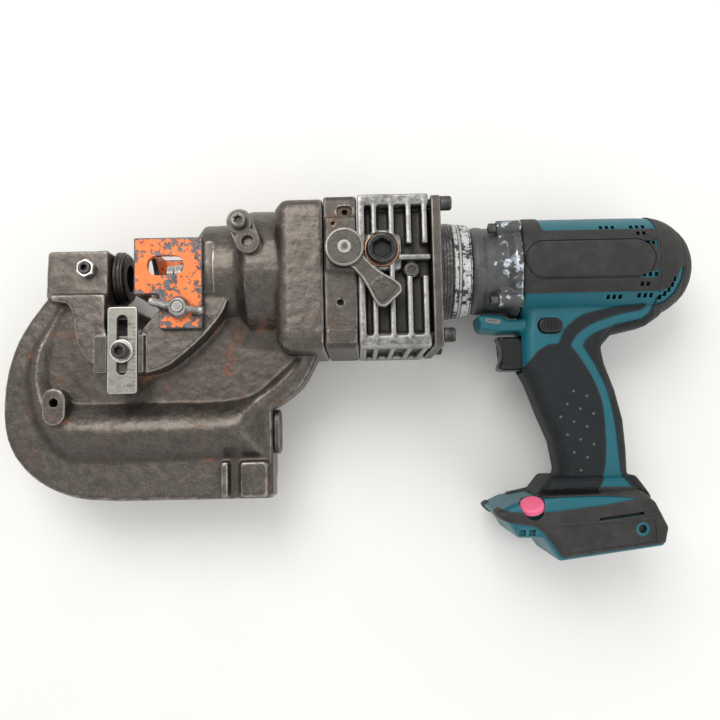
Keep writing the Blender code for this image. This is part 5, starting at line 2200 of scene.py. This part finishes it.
    def side_panels(self) -> None:
        """Raised blank oblong on each side of the motor housing."""
        for side, word in SIDES:
            low, high = flank(side, 12.0)
            raised = copy_of(self.outer)
            co = points_of(raised)
            mid = 0.4
            across = np.hypot((np.abs(co[:, 0] - 151.0) - 29.5).clip(0), co[:, 1] - mid)
            lift = ((12.4 - across) / 1.6).clip(0, 1)
            lift = lift * lift * (3 - 2 * lift)
            set_points(raised, co + normals_of(raised) * (lift * 1.3 - 0.1)[:, None])
            machine(raised, prism(slot_outline((121.5, mid), (180.5, mid), 12.2, 20),
                                  low, high, 0), operation="INTERSECT")
            machine(raised, swell(copy_of(self.outer), -0.7))
            dress(raised, f"blank_side_plate_{word}", "frame", RUBBER)

    def end_bumper(self) -> None:
        """Ringed bumper on the back of the motor housing."""
        loop = [(215.3, 0), (215.3, 26.2), (216.9, 25.0), (217.1, 24.3), (217.7, 23.8),
                (219.6, 22.3), (221.4, 20.0), (221.5, 19.3), (222.0, 18.7),
                (223.6, 16.2), (225.0, 13.2), (225.0, 12.5), (225.5, 11.8),
                (226.7, 7.6), (227.3, 3.6), (227.5, 0)]
        dress(turned(loop, count=72, radius=0.5), "end_bumper", "frame", RUBBER,
              ["rear_bumper"])

    def controls(self) -> None:
        """Trigger, direction button and the foot button."""
        outline = ((92.6, -46.6), (94.6, -51), (95.9, -56), (95.6, -62), (93.6, -66.5),
                   (93.2, -68.2), (95.5, -69.6), (113, -69.6), (113, -49.6),
                   (106, -46.6))
        finger = melt([prism(fillet(outline, 1.2, 4), -9, 9, 2.6)], 0.45, 3)
        machine(finger, cutter((100.4, -80, -20), (100.9, -40, -8.7)),
                cutter((100.4, -80, 8.7), (100.9, -40, 20)),
                bar((0, -58, 0), X_AXIS, 106, 115, 5.3))
        dress(finger, "trigger_lever", "trigger", TRIGGER_BLACK, ["trigger"])
        x, y = self.button_at
        button = prism(slot_outline((x - 3, y), (x + 3, y), 4.9), -20.5, 20.5, 0.9)
        grooves = []
        for k in range(3):
            left = x - 2.6 + 2.2 * k
            for low, high in ((20.0, 24), (-24, -20.0)):
                grooves.append(cutter((left, y - 2.6, low), (left + 0.8, y + 2.6, high)))
        machine(button, gather(grooves))
        dress(button, "direction_switch_button", "direction_button", TRIGGER_BLACK,
              ["direction_button"])
        cap = turned([(-3, 7.8), (0.2, 7.8), (1.2, 6.6), (1.5, 4.0)],
                     self.foot_button_axis, self.foot_button_at, 48, 0.5)
        dress(cap, "foot_release_button", "foot_button", PINK,
              ["foot_button"])

    def seat_details(self) -> None:
        """Dark sheets of painted shade behind the foot's openings, and the lamp's lens."""
        for side, word in SIDES:
            low, high = flank(side, 31.0, 32.9)
            # Black sheet standing in for the shade inside the hollow foot.
            dress(block((130, -176, low), (178, -160, high)), f"foot_shade_sheet_{word}",
                  "frame", BLACK)
        lens = prism(slot_outline((86.0, -36.0), (93.0, -37.0), 1.7), 11.5, 14.1, 0.5)
        dress(lens, "lamp_lens", "frame", LENS)

    def build(self) -> None:
        """Make the whole handle."""
        self.outer = self.shape()
        self.shells()
        self.pads()
        self.side_panels()
        bpy.data.objects.remove(self.outer)
        self.end_bumper()
        self.controls()
        self.seat_details()


@dataclass
class Insides:
    """CAD nodes that stay as they are, each with a better finish."""

    finishes: dict[str, tuple[Finish, Slot]] = field(default_factory=lambda: {
        "ram": (BRIGHT, Slot.BRIGHT), "piston_seal": (SEAL, Slot.SEAL),
        "return_spring": (OXIDE, Slot.OXIDE),
        "release_valve_stem": (BRIGHT, Slot.BRIGHT),
        "eccentric_shaft": (BRIGHT, Slot.BRIGHT),
        "eccentric_bearing": (BRIGHT, Slot.BRIGHT),
        "planet_gear_1": (BRIGHT, Slot.BRIGHT), "planet_gear_2": (BRIGHT, Slot.BRIGHT),
        "planet_gear_3": (BRIGHT, Slot.BRIGHT), "ring_gear": (BRIGHT, Slot.BRIGHT),
        "pump_plunger": (BRIGHT, Slot.BRIGHT), "armature": (COPPER, Slot.COPPER),
        "motor_fan": (BLACK, Slot.BLACK), "motor_can": (OXIDE, Slot.FORGED),
        "rear_bearing": (BRIGHT, Slot.BRIGHT), "switch_body": (BLACK, Slot.OXIDE),
        "terminal_block": (BLACK, Slot.OXIDE), "trigger_spring": (ZINC, Slot.BRIGHT),
    })

    def build(self) -> None:
        """Assign the finishes."""
        for name, (finish, slot) in self.finishes.items():
            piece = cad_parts[name]
            piece.data.materials.clear()
            piece.data.materials.append(material_of(finish))
            LOG.info("%s: finished", name)


@dataclass
class Studio:
    """Pale floor, soft light and the camera."""

    floor_colour: Colour = (0.86, 0.845, 0.81)
    lens: float = 38.7
    distance: float = 0.530
    tilt: float = math.radians(5.0)
    roll: float = -0.021
    aim: tuple[float, float, float] = (0.0, -59.6, 0.0)
    floor_half: float = 3.0
    surround: float = 0.80

    def floor(self) -> None:
        """Matt floor with a faint unevenness."""
        made, net = open_material("floor_finish")
        place = net.place()
        cloud = net.span(net.noise(place, 0.012, 3.0), 0.35, 0.65)
        colour = net.mix(cloud, opaque(self.floor_colour),
                         opaque(self.floor_colour, 0.985))
        grain = net.mask(Effect.GRAIN, size=1.5, coarse=0.3)
        close_material(net, grain, 0.01, Base_Color=colour, Roughness=0.7)
        size, ground = self.floor_half, CAD_BOX[0][2]
        mesh = bpy.data.meshes.new("floor")
        mesh.from_pydata([(-size, -size, ground), (size, -size, ground),
                          (size, size, ground), (-size, size, ground)], [],
                         [(0, 1, 2, 3)])
        floor = placed("floor", mesh)
        mesh.materials.append(made)

    def light(self, name: str, place: Sequence[float], size: float, power: float,
              colour: Colour) -> None:
        """Square soft light aimed at the object's middle.

        Args:
            name: The light's name.
            place: Where it hangs, in metres.
            size: Length of its side in metres.
            power: Its power in watts.
            colour: Its colour.
        """
        data = bpy.data.lights.new(name, "AREA")
        data.size, data.energy, data.color = size, power, colour
        lamp = placed(name, data)
        lamp.location = place
        lamp.rotation_euler = (Vector((0, 0, 0.05)) - Vector(place)
                               ).to_track_quat("-Z", "Y").to_euler()

    def lights(self) -> None:
        """Key light from above the cylinder side, fill and an even surround."""
        self.light("key_light", (-0.35, 0.75, 1.25), 0.9, 11.0, (1.0, 0.985, 0.96))
        self.light("fill_light", (0.9, -0.5, 1.1), 1.2, 4.0, (0.96, 0.98, 1.0))
        world = bpy.data.worlds.new("surround")
        bpy.context.scene.world = world
        world.use_nodes = True
        back = world.node_tree.nodes["Background"]
        back.inputs["Color"].default_value = (0.98, 0.99, 1.0, 1.0)
        back.inputs["Strength"].default_value = self.surround

    def camera(self) -> None:
        """Camera above the object, leaning a little towards the foot."""
        data = bpy.data.cameras.new("camera")
        data.lens, data.sensor_width = self.lens, 36.0
        data.clip_start, data.clip_end = 0.01, 20.0
        lens = placed("camera", data)
        back = Vector((0, -math.sin(self.tilt), math.cos(self.tilt)))
        up = Vector((0, math.cos(self.tilt), math.sin(self.tilt)))
        right = up.cross(back)
        turn = Matrix((right, up, back)).transposed() @ Matrix.Rotation(self.roll, 3, "Z")
        target = DATUM + Vector(self.aim) * MM
        lens.matrix_world = (Matrix.Translation(target + back * self.distance)
                             @ turn.to_4x4())
        bpy.context.scene.camera = lens

    def build(self) -> None:
        """Set the scene."""
        self.floor()
        self.lights()
        self.camera()
        bpy.context.scene.view_settings.view_transform = "Standard"


def main() -> None:
    """Build every sub-assembly in order."""
    logging.basicConfig(level=logging.INFO, format="%(name)s %(message)s")
    EffectShelf().build()
    for part in (Studio(), CFrame(), DieSeat(), PunchTrain(), Stripper(), ThroatGauge(),
                 HangerLink(), ValveBlock(), PumpCase(), DriveCase(), Handle(),
                 Insides()):
        part.build()
        LOG.info("built %s", type(part).__name__)


def write_size() -> None:
    """Bring the view layer up to date."""
    bpy.context.view_layer.update()


if __name__ == "__main__":
    main()
    write_size()
